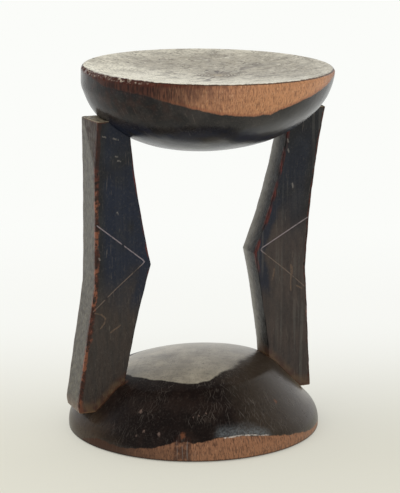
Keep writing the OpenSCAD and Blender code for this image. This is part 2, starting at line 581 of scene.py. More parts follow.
class Shading(NodeTree):
    """A material's node tree under construction, on one Principled shader."""

    def __init__(self, name: str) -> None:
        """Starts a material of that name."""
        self.material = bpy.data.materials.new(name)
        self.material.use_nodes = True
        super().__init__(self.material.node_tree)
        self.out = self.node("ShaderNodeOutputMaterial")
        self.skin = self.node("ShaderNodeBsdfPrincipled")
        self.feed(self.out.inputs["Surface"], self.skin.outputs[0])
        self.place = self.node("ShaderNodeTexCoord").outputs["Object"]

    # Colours

    def blend(self, share: Value, first: Value, second: Value) -> Socket:
        """A colour that goes from first to second as share goes from 0 to 1."""
        return self.node("ShaderNodeMix", {0: share, 6: first, 7: second}, data_type="RGBA").outputs[2]

    def between(self, first: str, second: str, share: Value) -> Socket:
        """The same, with the two colours given as "#rrggbb"."""
        return self.blend(share, linear(first), linear(second))

    def paint(self, colour: Value, code: str, *shares: Value) -> Socket:
        """A colour with another one, given as "#rrggbb", laid over it by the product of the shares."""
        return self.blend(self.times(*shares), colour, linear(code))

    # Places

    def mark(self, name: str) -> Socket:
        """Value of a mesh attribute."""
        return self.node("ShaderNodeAttribute", attribute_name=name).outputs["Fac"]

    def near(self, name: str, low: float, high: float, wander: Value | None = None) -> Socket:
        """Step from low to high on a mesh attribute, whose line may wander by a drift."""
        value = self.mark(name)
        return self.step(value if wander is None else self.plus(value, wander), low, high)

    def from_point(self, centre: Sequence[float]) -> Sequence[Socket]:
        """The place as three parts, measured from a point."""
        return self.parts(self.first("ShaderNodeVectorMath", {0: self.place, 1: centre}, operation="SUBTRACT"))

    def length(self, x: Value, y: Value) -> Socket:
        """Length of a level line from its two parts."""
        return self.math("SQRT", self.plus(self.times(x, x), self.times(y, y)))

    def round(self, centre: Sequence[float], radius: float) -> tuple[Socket, Socket, Socket]:
        """Place on a round piece.

        Args:
            centre: The piece's middle.
            radius: Radius at which the first result is a length.

        Returns:
            Length round the piece from its front, distance from its axis, and height.
        """
        x, y, z = self.from_point(centre)
        turn = self.times(self.math("ARCTAN2", x, self.times(y, -1.0)), radius)
        return turn, self.length(x, y), z

    # Patterns

    def noise(self, vector: Value, detail: float = 2.0) -> Socket:
        """Soft noise between 0 and 1, one lump to the unit of its vector."""
        return self.first("ShaderNodeTexNoise", {
            "Vector": vector, "Scale": 1.0, "Detail": detail, "Roughness": 0.5,
        })

    def mapped(self, scale: Sequence[float], turn: Sequence[float], seed: float) -> Socket:
        """The piece's own coordinates, shifted by the seed, turned (in degrees) and scaled."""
        return self.first("ShaderNodeMapping", {
            "Vector": self.place, "Location": (seed,) * 3, "Rotation": [math.radians(t) for t in turn], "Scale": scale,
        })

    def lumps(self, size: float, detail: float = 2.0, seed: float = 0.0) -> Socket:
        """Soft noise with lumps of one size in every direction."""
        return self.noise(self.mapped((1.0 / size,) * 3, UPRIGHT, seed), detail)

    def cloud(self, size: float, low: float, high: float, detail: float = 2.0, seed: float = 0.0) -> Socket:
        """Patches of one size: a step from low to high on their noise."""
        return self.step(self.lumps(size, detail, seed), low, high)

    def rings(self, far: Value, spacing: float, wander: Value) -> Socket:
        """Rings round a point, as a wave between -1 and 1 on the distance from it."""
        return self.math("SINE", self.times(self.plus(far, wander), math.tau / spacing))

    def drift(self, size: float, amount: float, seed: float = 0.0, detail: float = 2.0) -> Socket:
        """Noise about 0, as a length or share that reaches about a third of amount either way."""
        return self.times(self.less(self.lumps(size, detail, seed), 0.5), amount)

    def veins(self, size: float, wide: float, narrow: float, detail: float = 2.0, seed: float = 0.0) -> Socket:
        """Thin bent lines where noise of one size passes its middle."""
        return self.step(self.math("ABSOLUTE", self.less(self.lumps(size, detail, seed), 0.5)), wide, narrow)

    def streaks(self, width: float, length: float, seed: float, detail: float = 1.0,
                turn: Sequence[float] = UPRIGHT) -> Socket:
        """Soft noise drawn out along one direction, which is upright unless it is turned."""
        return self.noise(self.mapped((1.0 / width, 1.0 / width, 1.0 / length), turn, seed), detail)

    def fibres(self, width: float, length: float, low: float, high: float, seed: float, detail: float = 1.0,
               turn: Sequence[float] = UPRIGHT) -> Socket:
        """Fibres of one size: a step from low to high on their streaks."""
        return self.step(self.streaks(width, length, seed, detail, turn), low, high)

    def drawn(self, across: Value, along: Value, width: float, length: float, seed: float, skew: float = 0.0,
              detail: float = 1.0) -> Socket:
        """Soft noise in streaks of one width and length on the surface, which lean by the slope skew."""
        leant = self.plus(across, self.times(along, skew)) if skew else across
        return self.noise(self.bundle(self.times(leant, 1.0 / width), self.times(along, 1.0 / length), seed), detail)

    def relief(self, height: Value, distance: float, strength: float, normal: Socket | None = None) -> Socket:
        """Normals bent by a height, a share of distance, on top of normals that may be bent already."""
        inputs = {"Height": height, "Strength": strength, "Distance": distance}
        return self.first("ShaderNodeBump", inputs if normal is None else inputs | {"Normal": normal})


@dataclass(frozen=True)
class WoodFinish:
    """Dark stain on a coarse-pored wood, rubbed through where hands, floor and blade met it."""

    name: str = "stained_wood"
    stain: str = "#1d1b1c"
    stain_light: str = "#2e2a29"
    bare_pale: str = "#c78d62"
    bare_mid: str = "#ad7a5a"
    bare_glint: str = "#dcb188"
    bare_dark: str = "#331e1a"
    pore: str = "#5c3826"
    scratch: str = "#857b70"
    dust: str = "#6f675d"
    pit: str = "#0e0c0c"
    pored: float = 0.7
    gloss: float = 0.32
    matte_gloss: float = 0.1
    smooth: float = 0.24
    rough: float = 0.55
    relief_height: float = 0.25 * MM
    grain_height: float = 0.07 * MM

    def stained(self, s: Shading) -> Socket:
        """Colour of the stain, clouded and with the pores of the grain in it."""
        colour = s.paint(linear(self.stain), self.stain_light, s.cloud(0.016, 0.42, 0.68, 3.0, 9.0))
        return s.paint(colour, self.stain_light, s.fibres(0.0012, 0.02, 0.52, 0.75, 2.0), 0.35)

    def gritty(self, s: Shading, colour: Value, seed: float, dust: float, pits: float) -> Socket:
        """Lays fine dust and pits over a colour, each by its share."""
        colour = s.paint(colour, self.dust, s.cloud(0.0019, 0.52, 0.7, 3.0, seed), dust)
        return s.paint(colour, self.pit, s.fibres(0.0014, 0.003, 0.55, 0.7, seed + 3.0, 2.0), pits)

    def bare(self, s: Shading, east: Value, across: Value, along: Value) -> Socket:
        """Colour of bare wood, with fibres and short pores along the grain.

        Args:
            s: The material.
            east: 0 where the wood has darkened, 1 where it is pale.
            across: Length across the grain.
            along: Length along it.

        Returns:
            The colour.
        """
        colour = s.between(self.bare_mid, self.bare_pale, s.step(east, 0.35, 1.0))
        for code, width, length, seed, detail, low, high, share in (
            (self.bare_pale, 0.0011, 0.008, 1.0, 1.0, 0.46, 0.68, 0.7),
            (self.pore, 0.0011, 0.006, 4.0, 1.0, 0.48, 0.66, 0.86 * self.pored),
            (self.pore, 0.0008, 0.0026, 7.0, 2.0, 0.54, 0.66, self.pored),
            (self.bare_glint, 0.0009, 0.004, 11.0, 1.0, 0.6, 0.74, 0.5),
        ):
            grain = s.drawn(across, along, width, length, seed, detail=detail)
            colour = s.paint(colour, code, s.step(grain, low, high), share)
        return s.paint(colour, self.bare_dark, s.step(s.plus(east, s.drift(0.012, 0.2, 5.0, 3.0)), 0.5, 0.05))

    def surface(self, s: Shading, colour: Value, dull: Value, height: Value, matte: Value) -> Material:
        """Sets the shader from a colour, a dullness and a height.

        Args:
            s: The material.
            colour: The surface's colour.
            dull: 0 where it is polished and 1 where it is dull.
            height: Relief, as a share of relief_height.
            matte: 1 where soot takes the gloss away.

        Returns:
            The material.
        """
        grain = s.relief(s.streaks(0.0008, 0.007, 1.0, 2.0), self.grain_height, 0.6)
        s.skin.inputs["Specular IOR Level"].default_value = self.gloss
        for socket, value in (
            ("Base Color", colour),
            ("Roughness", s.ranged(dull, 0.0, 1.0, self.smooth, self.rough)),
            ("Specular IOR Level", s.ranged(matte, 0.0, 1.0, self.gloss, self.matte_gloss * self.gloss)),
            ("Normal", s.relief(height, self.relief_height, 0.9, grain)),
        ):
            s.feed(s.skin.inputs[socket], value)
        return s.material


@dataclass(frozen=True)
class LegFinish(WoodFinish):
    """Finish of a leg: worn along its edges, with incised lines on its front."""

    name: str = "leg_wood"
    stain: str = "#1a1a1d"
    stain_light: str = "#27282a"
    blue: str = "#161e30"
    brown: str = "#403630"
    # Colours of the narrow faces, lighter than the front's stain partly as painted sheen; the pale and the dark one on
    # the inner face are a painted highlight and painted shade
    flank: str = "#413b32"
    flank_mottle: str = "#5d5749"
    inner_back_highlight: str = "#7d796c"
    inner_front_shade: str = "#17171a"
    edge_dark: str = "#35190f"
    edge_red: str = "#54291d"
    edge_orange: str = "#855038"
    inner_red: str = "#642822"
    inner_dark: str = "#2c1512"
    foot_brown: str = "#6c543d"
    foot_red: str = "#55362a"
    foot_line: str = "#84654a"
    facet: str = "#2c1a15"
    crest: str = "#5c3826"
    ledge: str = "#9a8e78"
    incised_pale: str = "#a3969a"
    incised_brown: str = "#77685d"
    nick: str = "#8d8780"
    nick_low: str = "#75604f"
    streak: str = "#5c5a55"
    gloss: float = 0.26
    # Widths of the wear along the two front edges, and where the red starts on the inner one
    outer_wear: float = 0.0036
    inner_wear: float = 0.0008
    red_from: float = 0.13
    # How much the pale streaks and the blue show, and below which height the stain is brown
    streaked: float = 0.05
    blue_share: float = 0.95
    brown_below: float = 0.17

    def tinted(self, s: Shading, level: Socket, seed: float) -> Socket:
        """Stain that is bluer above and by the elbow, and browner below.

        Args:
            s: The material.
            level: Height above the floor.
            seed: Shifts the patterns.

        Returns:
            The colour.
        """
        height = s.plus(level, s.drift(0.05, 0.12, 3.0))
        above = s.times(s.step(height, self.brown_below - 0.08, self.brown_below + 0.01), s.step(height, 0.285, 0.24))
        colour = s.paint(self.stained(s), self.blue, above, s.cloud(0.03, 0.2, 0.5, seed=seed),
                         s.near("outer_gap", 3.0 * MM, 12.0 * MM), self.blue_share)
        by_elbow = s.times(s.near("inner_gap", 12.0 * MM, 6.0 * MM, s.drift(0.01, 9.0 * MM, seed, 3.0)),
                           s.step(level, 0.105, 0.125), s.step(level, 0.215, 0.185))
        colour = s.paint(colour, self.blue, by_elbow, 0.8)
        mottle = s.plus(0.5, s.times(s.fibres(0.004, 0.022, 0.3, 0.7, seed, 4.0), 0.4))
        colour = s.paint(colour, self.brown, s.step(height, self.brown_below, self.brown_below - 0.07),
                         s.less(1.0, s.times(by_elbow, 0.85)), mottle)
        pale = s.times(s.fibres(0.0024, 0.13, 0.55, 0.68, seed + 6.0, 0.0), s.cloud(0.05, 0.35, 0.6, 1.0, seed))
        return s.paint(colour, self.streak, pale, self.streaked)

    def sides(self, s: Shading, colour: Socket, seed: float) -> Socket:
        """Greyer colour on the leg's narrow faces, lighter than the front partly as painted sheen, with a painted
        highlight towards the back of the inner one and painted shade towards its front.

        Args:
            s: The material.
            colour: The colour below.
            seed: Shifts the patterns.

        Returns:
            The colour with its narrow faces.
        """
        mottled_flank_sheen = s.between(self.flank, self.flank_mottle, s.cloud(0.004, 0.36, 0.7, 4.0, seed))
        side = s.less(1.0, s.mark("broad"))
        colour = s.blend(s.times(side, 0.9), colour, self.gritty(s, mottled_flank_sheen, seed, 0.25, 0.6))
        inner = s.plus(s.mark("inner_share"), s.drift(0.012, 0.25, seed))
        on_inner = s.near("inner_share", 0.001, 0.01)
        # Painted shade towards the front of the inner face, and a painted highlight towards its back edge
        colour = s.paint(colour, self.inner_front_shade, on_inner, s.step(inner, 0.6, 0.2), 0.9)
        return s.paint(colour, self.inner_back_highlight, on_inner, s.step(inner, 0.45, 1.0), 0.8)

    def worn_edges(self, s: Shading, colour: Socket, level: Socket, seed: float) -> Socket:
        """Lays the worn edges over a colour.

        Args:
            s: The material.
            colour: The stain.
            level: Height above the floor.
            seed: Shifts the patterns.

        Returns:
            The colour with its edges.
        """
        ragged = s.plus(s.times(s.less(s.streaks(0.003, 0.016, seed), 0.5), 3.0 * MM),
                        s.drift(0.0028, 3.0 * MM, seed, 3.0))
        outer = s.near("outer_gap", self.outer_wear, 0.45 * self.outer_wear, ragged)
        red = s.between(self.edge_dark, self.edge_red, s.cloud(0.0035, 0.4, 0.66, 3.0, seed))
        colour = s.blend(s.times(outer, 0.92), colour, red)
        spots = s.near("worn", 0.45, 1.0, s.drift(0.0035, 3.2, seed, 3.0))
        colour = s.paint(colour, self.edge_orange, outer, spots, 0.78)
        colour = s.paint(colour, self.pit, outer, s.cloud(0.003, 0.53, 0.62, 3.0, seed + 4.0), 0.75)
        fine = s.times(ragged, 0.3)
        inner = s.near("inner_gap", self.inner_wear + 0.35 * MM, self.inner_wear - 0.35 * MM, fine)
        rubbed = s.times(inner, s.cloud(0.016, 0.34, 0.56, seed=seed + 2.0),
                         s.step(level, self.red_from, self.red_from + 0.02))
        shade = s.fibres(0.0016, 0.011, 0.36, 0.62, seed + 8.0, 3.0)
        colour = s.blend(s.times(rubbed, 0.85), colour, s.between(self.inner_dark, self.inner_red, shade))
        return s.paint(colour, self.edge_red, s.near("edge_gap", 1.0 * MM, 0.5 * MM, fine), 0.6)

    def dusty_foot(self, s: Shading, colour: Socket, seed: float) -> Socket:
        """Lays the earth that gathered where the leg meets the base over a colour."""
        low = s.near("foot_gap", 14.0 * MM, 1.0 * MM, s.drift(0.005, 7.0 * MM, seed, 3.0))
        earthy = s.between(self.foot_brown, self.foot_red, s.cloud(0.006, 0.4, 0.62, 4.0, seed + 3.0))
        colour = s.blend(s.times(low, 0.7), colour, earthy)
        return s.paint(colour, self.foot_line, s.near("foot_gap", 1.3 * MM, 0.6 * MM), 0.6)

    def cut_lines(self, s: Shading, colour: Socket, level: Socket, seed: float) -> tuple[Socket, Socket]:
        """Lays the incised mark and the nicks over a colour.

        Args:
            s: The material.
            colour: The stain with its edges.
            level: Height above the floor.
            seed: Shifts the patterns.

        Returns:
            The colour with its lines, and 1 on a line and 0 off it.
        """
        broken = s.cloud(0.0045, 0.26, 0.5, seed=seed + 1.0)
        cut = s.near("incised_gap", 0.66 * MM, 0.24 * MM)
        chalk = s.between(self.incised_brown, self.incised_pale, s.step(level, 0.149, 0.156))
        colour = s.blend(s.times(cut, broken, 0.7), colour, chalk)
        nick = s.near("nick_gap", 0.95 * MM, 0.4 * MM, s.drift(0.0015, 1.2 * MM, seed))
        dull_nick = s.between(self.nick_low, self.nick, s.step(level, 0.14, 0.16))
        return s.blend(s.times(nick, broken, 0.52), colour, dull_nick), s.most(cut, nick)

    def top_end(self, s: Shading, colour: Socket, seed: float) -> tuple[Socket, Socket]:
        """Lays the bevel's facet, the top edge and the pale ledge over a colour.

        Args:
            s: The material.
            colour: The colour below.
            seed: Shifts the patterns.

        Returns:
            The colour with its top end, and 1 on the ledge and 0 off it.
        """
        facet = s.plus(0.35, s.times(s.fibres(0.0016, 0.014, 0.36, 0.56, seed, turn=(0.0, 14.0, 0.0)), 0.6))
        colour = s.paint(colour, self.facet, s.mark("facet"), facet)
        crest = s.near("crest_gap", 1.8 * MM, 0.4 * MM, s.drift(0.003, 3.0 * MM, seed, 3.0))
        colour = s.paint(colour, self.crest, crest, s.near("ledge", 0.5, 0.0), 0.75)
        ledge = s.times(s.near("ledge", 0.3, 0.7), s.cloud(0.004, 0.3, 0.56, 3.0, seed))
        return s.paint(colour, self.ledge, ledge), ledge

    def build(self, seed: float) -> Material:
        """Makes the material.

        Args:
            seed: Shifts the patterns, so that the two legs differ.

        Returns:
            The material.
        """
        s = Shading(self.name)
        level = s.parts(s.place)[2]
        colour = self.gritty(s, self.tinted(s, level, seed), seed, 0.1, 0.2)
        colour = self.worn_edges(s, self.sides(s, colour, seed), level, seed)
        colour = self.dusty_foot(s, colour, seed)
        scratch = s.times(s.fibres(0.0010, 0.012, 0.66, 0.74, seed, turn=(0.0, 34.0, 12.0)),
                          s.cloud(0.025, 0.42, 0.6, 1.0, seed))
        colour = s.paint(colour, self.scratch, scratch, 0.2)
        colour, line = self.cut_lines(s, colour, level, seed)
        colour, ledge = self.top_end(s, colour, seed)
        pores = s.fibres(0.0013, 0.005, 0.6, 0.7, seed + 5.0)
        dull = s.plus(s.times(s.lumps(0.007, 3.0, 4.0), 0.5), s.times(s.most(line, ledge), 0.5))
        height = s.less(s.times(s.lumps(0.0035, 3.0, 6.0), 0.6), s.most(s.times(scratch, 0.3), s.times(pores, 0.6)))
        patchy = s.most(s.cloud(0.004, 0.42, 0.66, 4.0, seed + 7.0),
                        s.fibres(0.0016, 0.014, 0.5, 0.7, seed + 11.0, 3.0))
        return self.surface(s, colour, dull, height, s.times(s.less(1.0, s.mark("broad")), patchy, 0.55))


@dataclass(frozen=True)
class SeatFinish(WoodFinish):
    """Finish of the seat: a grey rubbed top, a bare crescent at the front, and stain below."""

    name: str = "seat_wood"
    top_pale: str = "#f0ebd8"
    top_mid: str = "#aba390"
    top_grey: str = "#736c5d"
    heart: str = "#5d4c33"
    core: str = "#a8946e"
    crack: str = "#3b2c24"
    blue: str = "#171e30"
    stain_red: str = "#3a2018"
    bare_blotch: str = "#5e382b"
    bare_fibre: str = "#241614"
    bare_end: str = "#6b3a2a"
    bare_seam: str = "#8a4c33"
    fringe: str = "#54251a"
    rim_worn: str = "#4a2f29"
    rim_fleck: str = "#c9bda9"
    rim_chip: str = "#4a322b"
    pored: float = 0.5
    smooth: float = 0.15
    # Middle and radius of the seat's widest line, and the place of the log's heart
    middle: Place = (0.0117, -0.0047, 0.316)
    radius: float = 0.109
    heart_at: Place = (0.0194, -0.0064, 0.0)

    def end_grain(self, s: Shading, x: Socket, y: Socket, far: Socket) -> Socket:
        """Colour of the dished top: rubbed pale round the rim, paler towards the front and left as a painted highlight,
        stained grey, brushed and finely ringed.

        Args:
            s: The material.
            x: Place along X, from the heart of the log.
            y: Place along Y, from there.
            far: Distance from there.

        Returns:
            The colour.
        """
        # Paler towards the front and the left: a painted highlight, laid together with the paler rubbed rim
        lit_front_left = s.plus(s.times(x, -0.75), s.times(y, -0.8), s.drift(0.03, 0.06, 1.0))
        rubbed = s.most(s.step(lit_front_left, -0.035, 0.07), s.times(s.step(far, 0.07, 0.115), 0.6))
        colour = s.between(self.top_mid, self.top_pale, rubbed)
        grey = s.less(0.68, s.times(rubbed, 0.42))
        colour = s.paint(colour, self.top_grey, s.cloud(0.02, 0.45, 0.72, 6.0, 1.0), grey)
        colour = s.paint(colour, self.top_pale, s.cloud(0.006, 0.52, 0.72, 5.0, 8.0), 0.45)
        colour = s.paint(colour, self.top_grey, s.cloud(0.005, 0.52, 0.68, 5.0, 18.0), grey)
        brushed = s.drawn(y, x, 0.0012, 0.014, 9.0, 0.5, 3.0)
        colour = s.paint(colour, self.top_pale, s.step(brushed, 0.56, 0.7), 0.3)
        colour = s.paint(colour, self.heart, s.step(brushed, 0.44, 0.32), 0.28)
        ring = s.rings(far, 0.0031, s.drift(0.02, 0.012, 2.0))
        colour = s.paint(colour, self.heart, s.step(ring, 0.0, 1.0), 0.14)
        return s.paint(colour, self.heart, s.cloud(0.0026, 0.54, 0.66, 4.0, 4.0), 0.5)

    def rubbed_and_lit_top(self, s: Shading) -> tuple[Socket, Socket]:
        """Colour of the dished top with the heart of the log and the cracks that run out from it.

        Args:
            s: The material.

        Returns:
            The colour, and 1 on a crack and 0 off it.
        """
        x, y, _ = s.from_point(self.heart_at)
        far = s.length(x, y)
        colour = self.end_grain(s, x, y, far)
        angle = s.math("ARCTAN2", y, x)
        way_x, way_y = s.math("COSINE", angle), s.math("SINE", angle)

        def rays(around: float, along: float) -> Socket:
            """Noise with so many lumps round the heart, and so many to the metre away from it."""
            return s.noise(s.bundle(s.times(way_x, around), s.times(way_y, around), s.times(far, along)), 1.0)

        colour = s.paint(colour, self.heart, s.step(far, 0.022, 0.006), s.step(rays(1.3, 420.0), 0.3, 0.6), 0.4)
        inner = s.rings(far, 0.0027, s.drift(0.006, 0.0012, 7.0))
        colour = s.paint(colour, self.heart, s.step(inner, -0.1, 0.7), s.step(far, 0.020, 0.012),
                         s.step(far, 0.002, 0.004), 0.85)
        colour = s.paint(colour, self.core, s.step(far, 0.0075, 0.003), s.cloud(0.003, 0.3, 0.6, 3.0, 1.0), 0.6)
        spokes = s.times(s.step(rays(4.0, 55.0), 0.575, 0.64), s.step(far, 0.075, 0.02), s.step(far, 0.003, 0.007))
        bent = s.times(s.veins(0.016, 0.014, 0.004, 2.0, 20.0), s.cloud(0.012, 0.52, 0.6, 1.0, 30.0))
        fine = s.times(s.veins(0.007, 0.02, 0.004, 3.0, 40.0), s.cloud(0.010, 0.5, 0.62, 1.0, 50.0), 0.7)
        long = s.math("ABSOLUTE", s.less(s.drawn(y, x, 0.006, 0.012, 14.0, -0.6, 2.0), 0.5))
        beside = s.times(s.step(long, 0.02, 0.006), s.step(x, 0.006, 0.012), s.step(x, 0.036, 0.026),
                         s.step(s.math("ABSOLUTE", y), 0.02, 0.012))
        crack = s.most(spokes, bent, fine, beside)
        return s.paint(colour, self.crack, crack, 0.75), crack

    def stained_bowl(self, s: Shading, east: Socket, height: Socket) -> Socket:
        """Stain of the bowl: bluer low down, reddish at the west end, gritty all over.

        Args:
            s: The material.
            east: 0 at the west end of the crescent and 1 where it is palest.
            height: Height above the widest line.

        Returns:
            The colour.
        """
        colour = s.paint(self.stained(s), self.blue, s.step(height, -0.028, -0.045),
                         s.cloud(0.022, 0.36, 0.6, seed=2.0), 0.8)
        colour = s.paint(colour, self.stain_red, s.step(east, 0.5, 0.1), s.step(height, -0.045, -0.01),
                         s.cloud(0.008, 0.42, 0.66, 3.0, 7.0), 0.4)
        return self.gritty(s, colour, 6.0, 0.1, 0.4)

    def crescent(self, s: Shading, bare: Socket, east: Socket, turn: Socket, height: Socket) -> Socket:
        """Colour of the bowl with its bare crescent, which darkens towards both ends.

        Args:
            s: The material.
            bare: 1 on the crescent and 0 off it.
            east: 0 at its west end and 1 where it is palest.
            turn: Length round the seat.
            height: Height above the widest line.

        Returns:
            The colour.
        """
        colour = s.blend(bare, self.stained_bowl(s, east, height), self.bare(s, east, turn, height))
        west = s.times(s.step(east, 0.62, 0.2), 0.2)
        blotch = s.step(s.plus(s.streaks(0.0025, 0.012, 12.0, 3.0), west), 0.55, 0.8)
        colour = s.paint(colour, self.bare_blotch, blotch, bare, 0.5)
        fibres = s.step(s.drawn(turn, height, 0.001, 0.01, 9.0), 0.42, 0.6)
        colour = s.paint(colour, self.bare_fibre, fibres, s.step(east, 0.42, 0.12), bare, 0.75)
        far_east = s.step(s.plus(s.parts(s.place)[0], s.drift(0.02, 0.02, 8.0)), 0.080, 0.113)
        colour = s.paint(colour, self.bare_end, far_east, bare, 0.72)
        colour = s.paint(colour, self.bare_seam, bare, s.near("bare", 3.5 * MM, 0.5 * MM), s.step(east, 0.12, 0.4), 0.5)
        return s.paint(colour, self.fringe, s.near("lip_gap", 6.0 * MM, 1.0 * MM), s.step(east, 0.6, 0.15),
                       s.cloud(0.004, 0.3, 0.6, 3.0, 15.0), 0.8)

    def rim(self, s: Shading, colour: Socket) -> tuple[Socket, Socket]:
        """Lays the dark lip and its worn, chipped stretch over a colour.

        Args:
            s: The material.
            colour: The colour below.

        Returns:
            The colour with its rim, and 1 on the top and 0 off it.
        """
        ragged = s.mark("ragged")
        lip = s.times(s.near("lip_gap", 1.5 * MM, 0.5 * MM), s.cloud(0.005, 0.22, 0.42, seed=3.0))
        colour = s.paint(colour, self.crack, lip, s.less(0.9, s.times(ragged, 0.55)))
        broken = s.times(ragged, s.plus(s.drift(0.0030, 9.0 * MM, 5.0, 4.0), -1.9 * MM))
        top = s.plus(s.mark("top"), s.drift(0.003, 2.0 * MM, 5.0, 3.0), broken)
        top = s.step(s.over(top, s.plus(1.0, s.times(ragged, 2.0))), -0.4 * MM, 0.4 * MM)
        worn = s.near("lip_gap", 4.0 * MM, 2.5 * MM, s.drift(0.003, 3.0 * MM, 6.0, 3.0))
        colour = s.paint(colour, self.rim_worn, ragged, worn, 0.8)
        flecks = s.times(s.near("lip_gap", 4.0 * MM, 2.0 * MM), s.cloud(0.0024, 0.54, 0.62, 4.0, 25.0))
        return s.paint(colour, self.rim_fleck, ragged, flecks, 0.7), top

    def build(self, seed: float) -> Material:
        """Makes the material.

        Args:
            seed: Shifts the patterns.

        Returns:
            The material.
        """
        s = Shading(self.name)
        turn, _, height = s.round(self.middle, self.radius)
        east = s.step(s.plus(s.parts(s.place)[0], s.drift(0.03, 0.04)), -0.115, 0.085)
        bare = s.near("bare", -0.8 * MM, 1.2 * MM, s.drift(0.005, 3.0 * MM, seed, 3.0))
        colour, top = self.rim(s, self.crescent(s, bare, east, turn, height))
        top_colour, crack = self.rubbed_and_lit_top(s)
        colour = s.blend(top, colour, top_colour)
        colour = s.paint(colour, self.rim_chip, s.mark("chip"), s.cloud(0.003, 0.38, 0.54, 3.0, 6.0), 0.6)
        scratch = s.times(s.step(s.drawn(turn, height, 0.0011, 0.016, seed, 0.25), 0.69, 0.75),
                          s.cloud(0.03, 0.42, 0.6, 1.0, seed))
        colour = s.paint(colour, self.scratch, scratch, s.less(1.0, top), 0.22)
        dull = s.plus(s.times(s.lumps(0.014, 3.0, 4.0), 0.4), s.times(s.most(bare, top), 0.45))
        pits = s.less(s.times(s.lumps(0.0045, 3.0, 6.0), 0.5), s.most(s.times(scratch, 0.25), s.times(crack, top)))
        matte = s.times(s.step(east, 0.42, 0.1), s.step(height, -0.062, -0.045), 0.7)
        return self.surface(s, colour, dull, pits, matte)


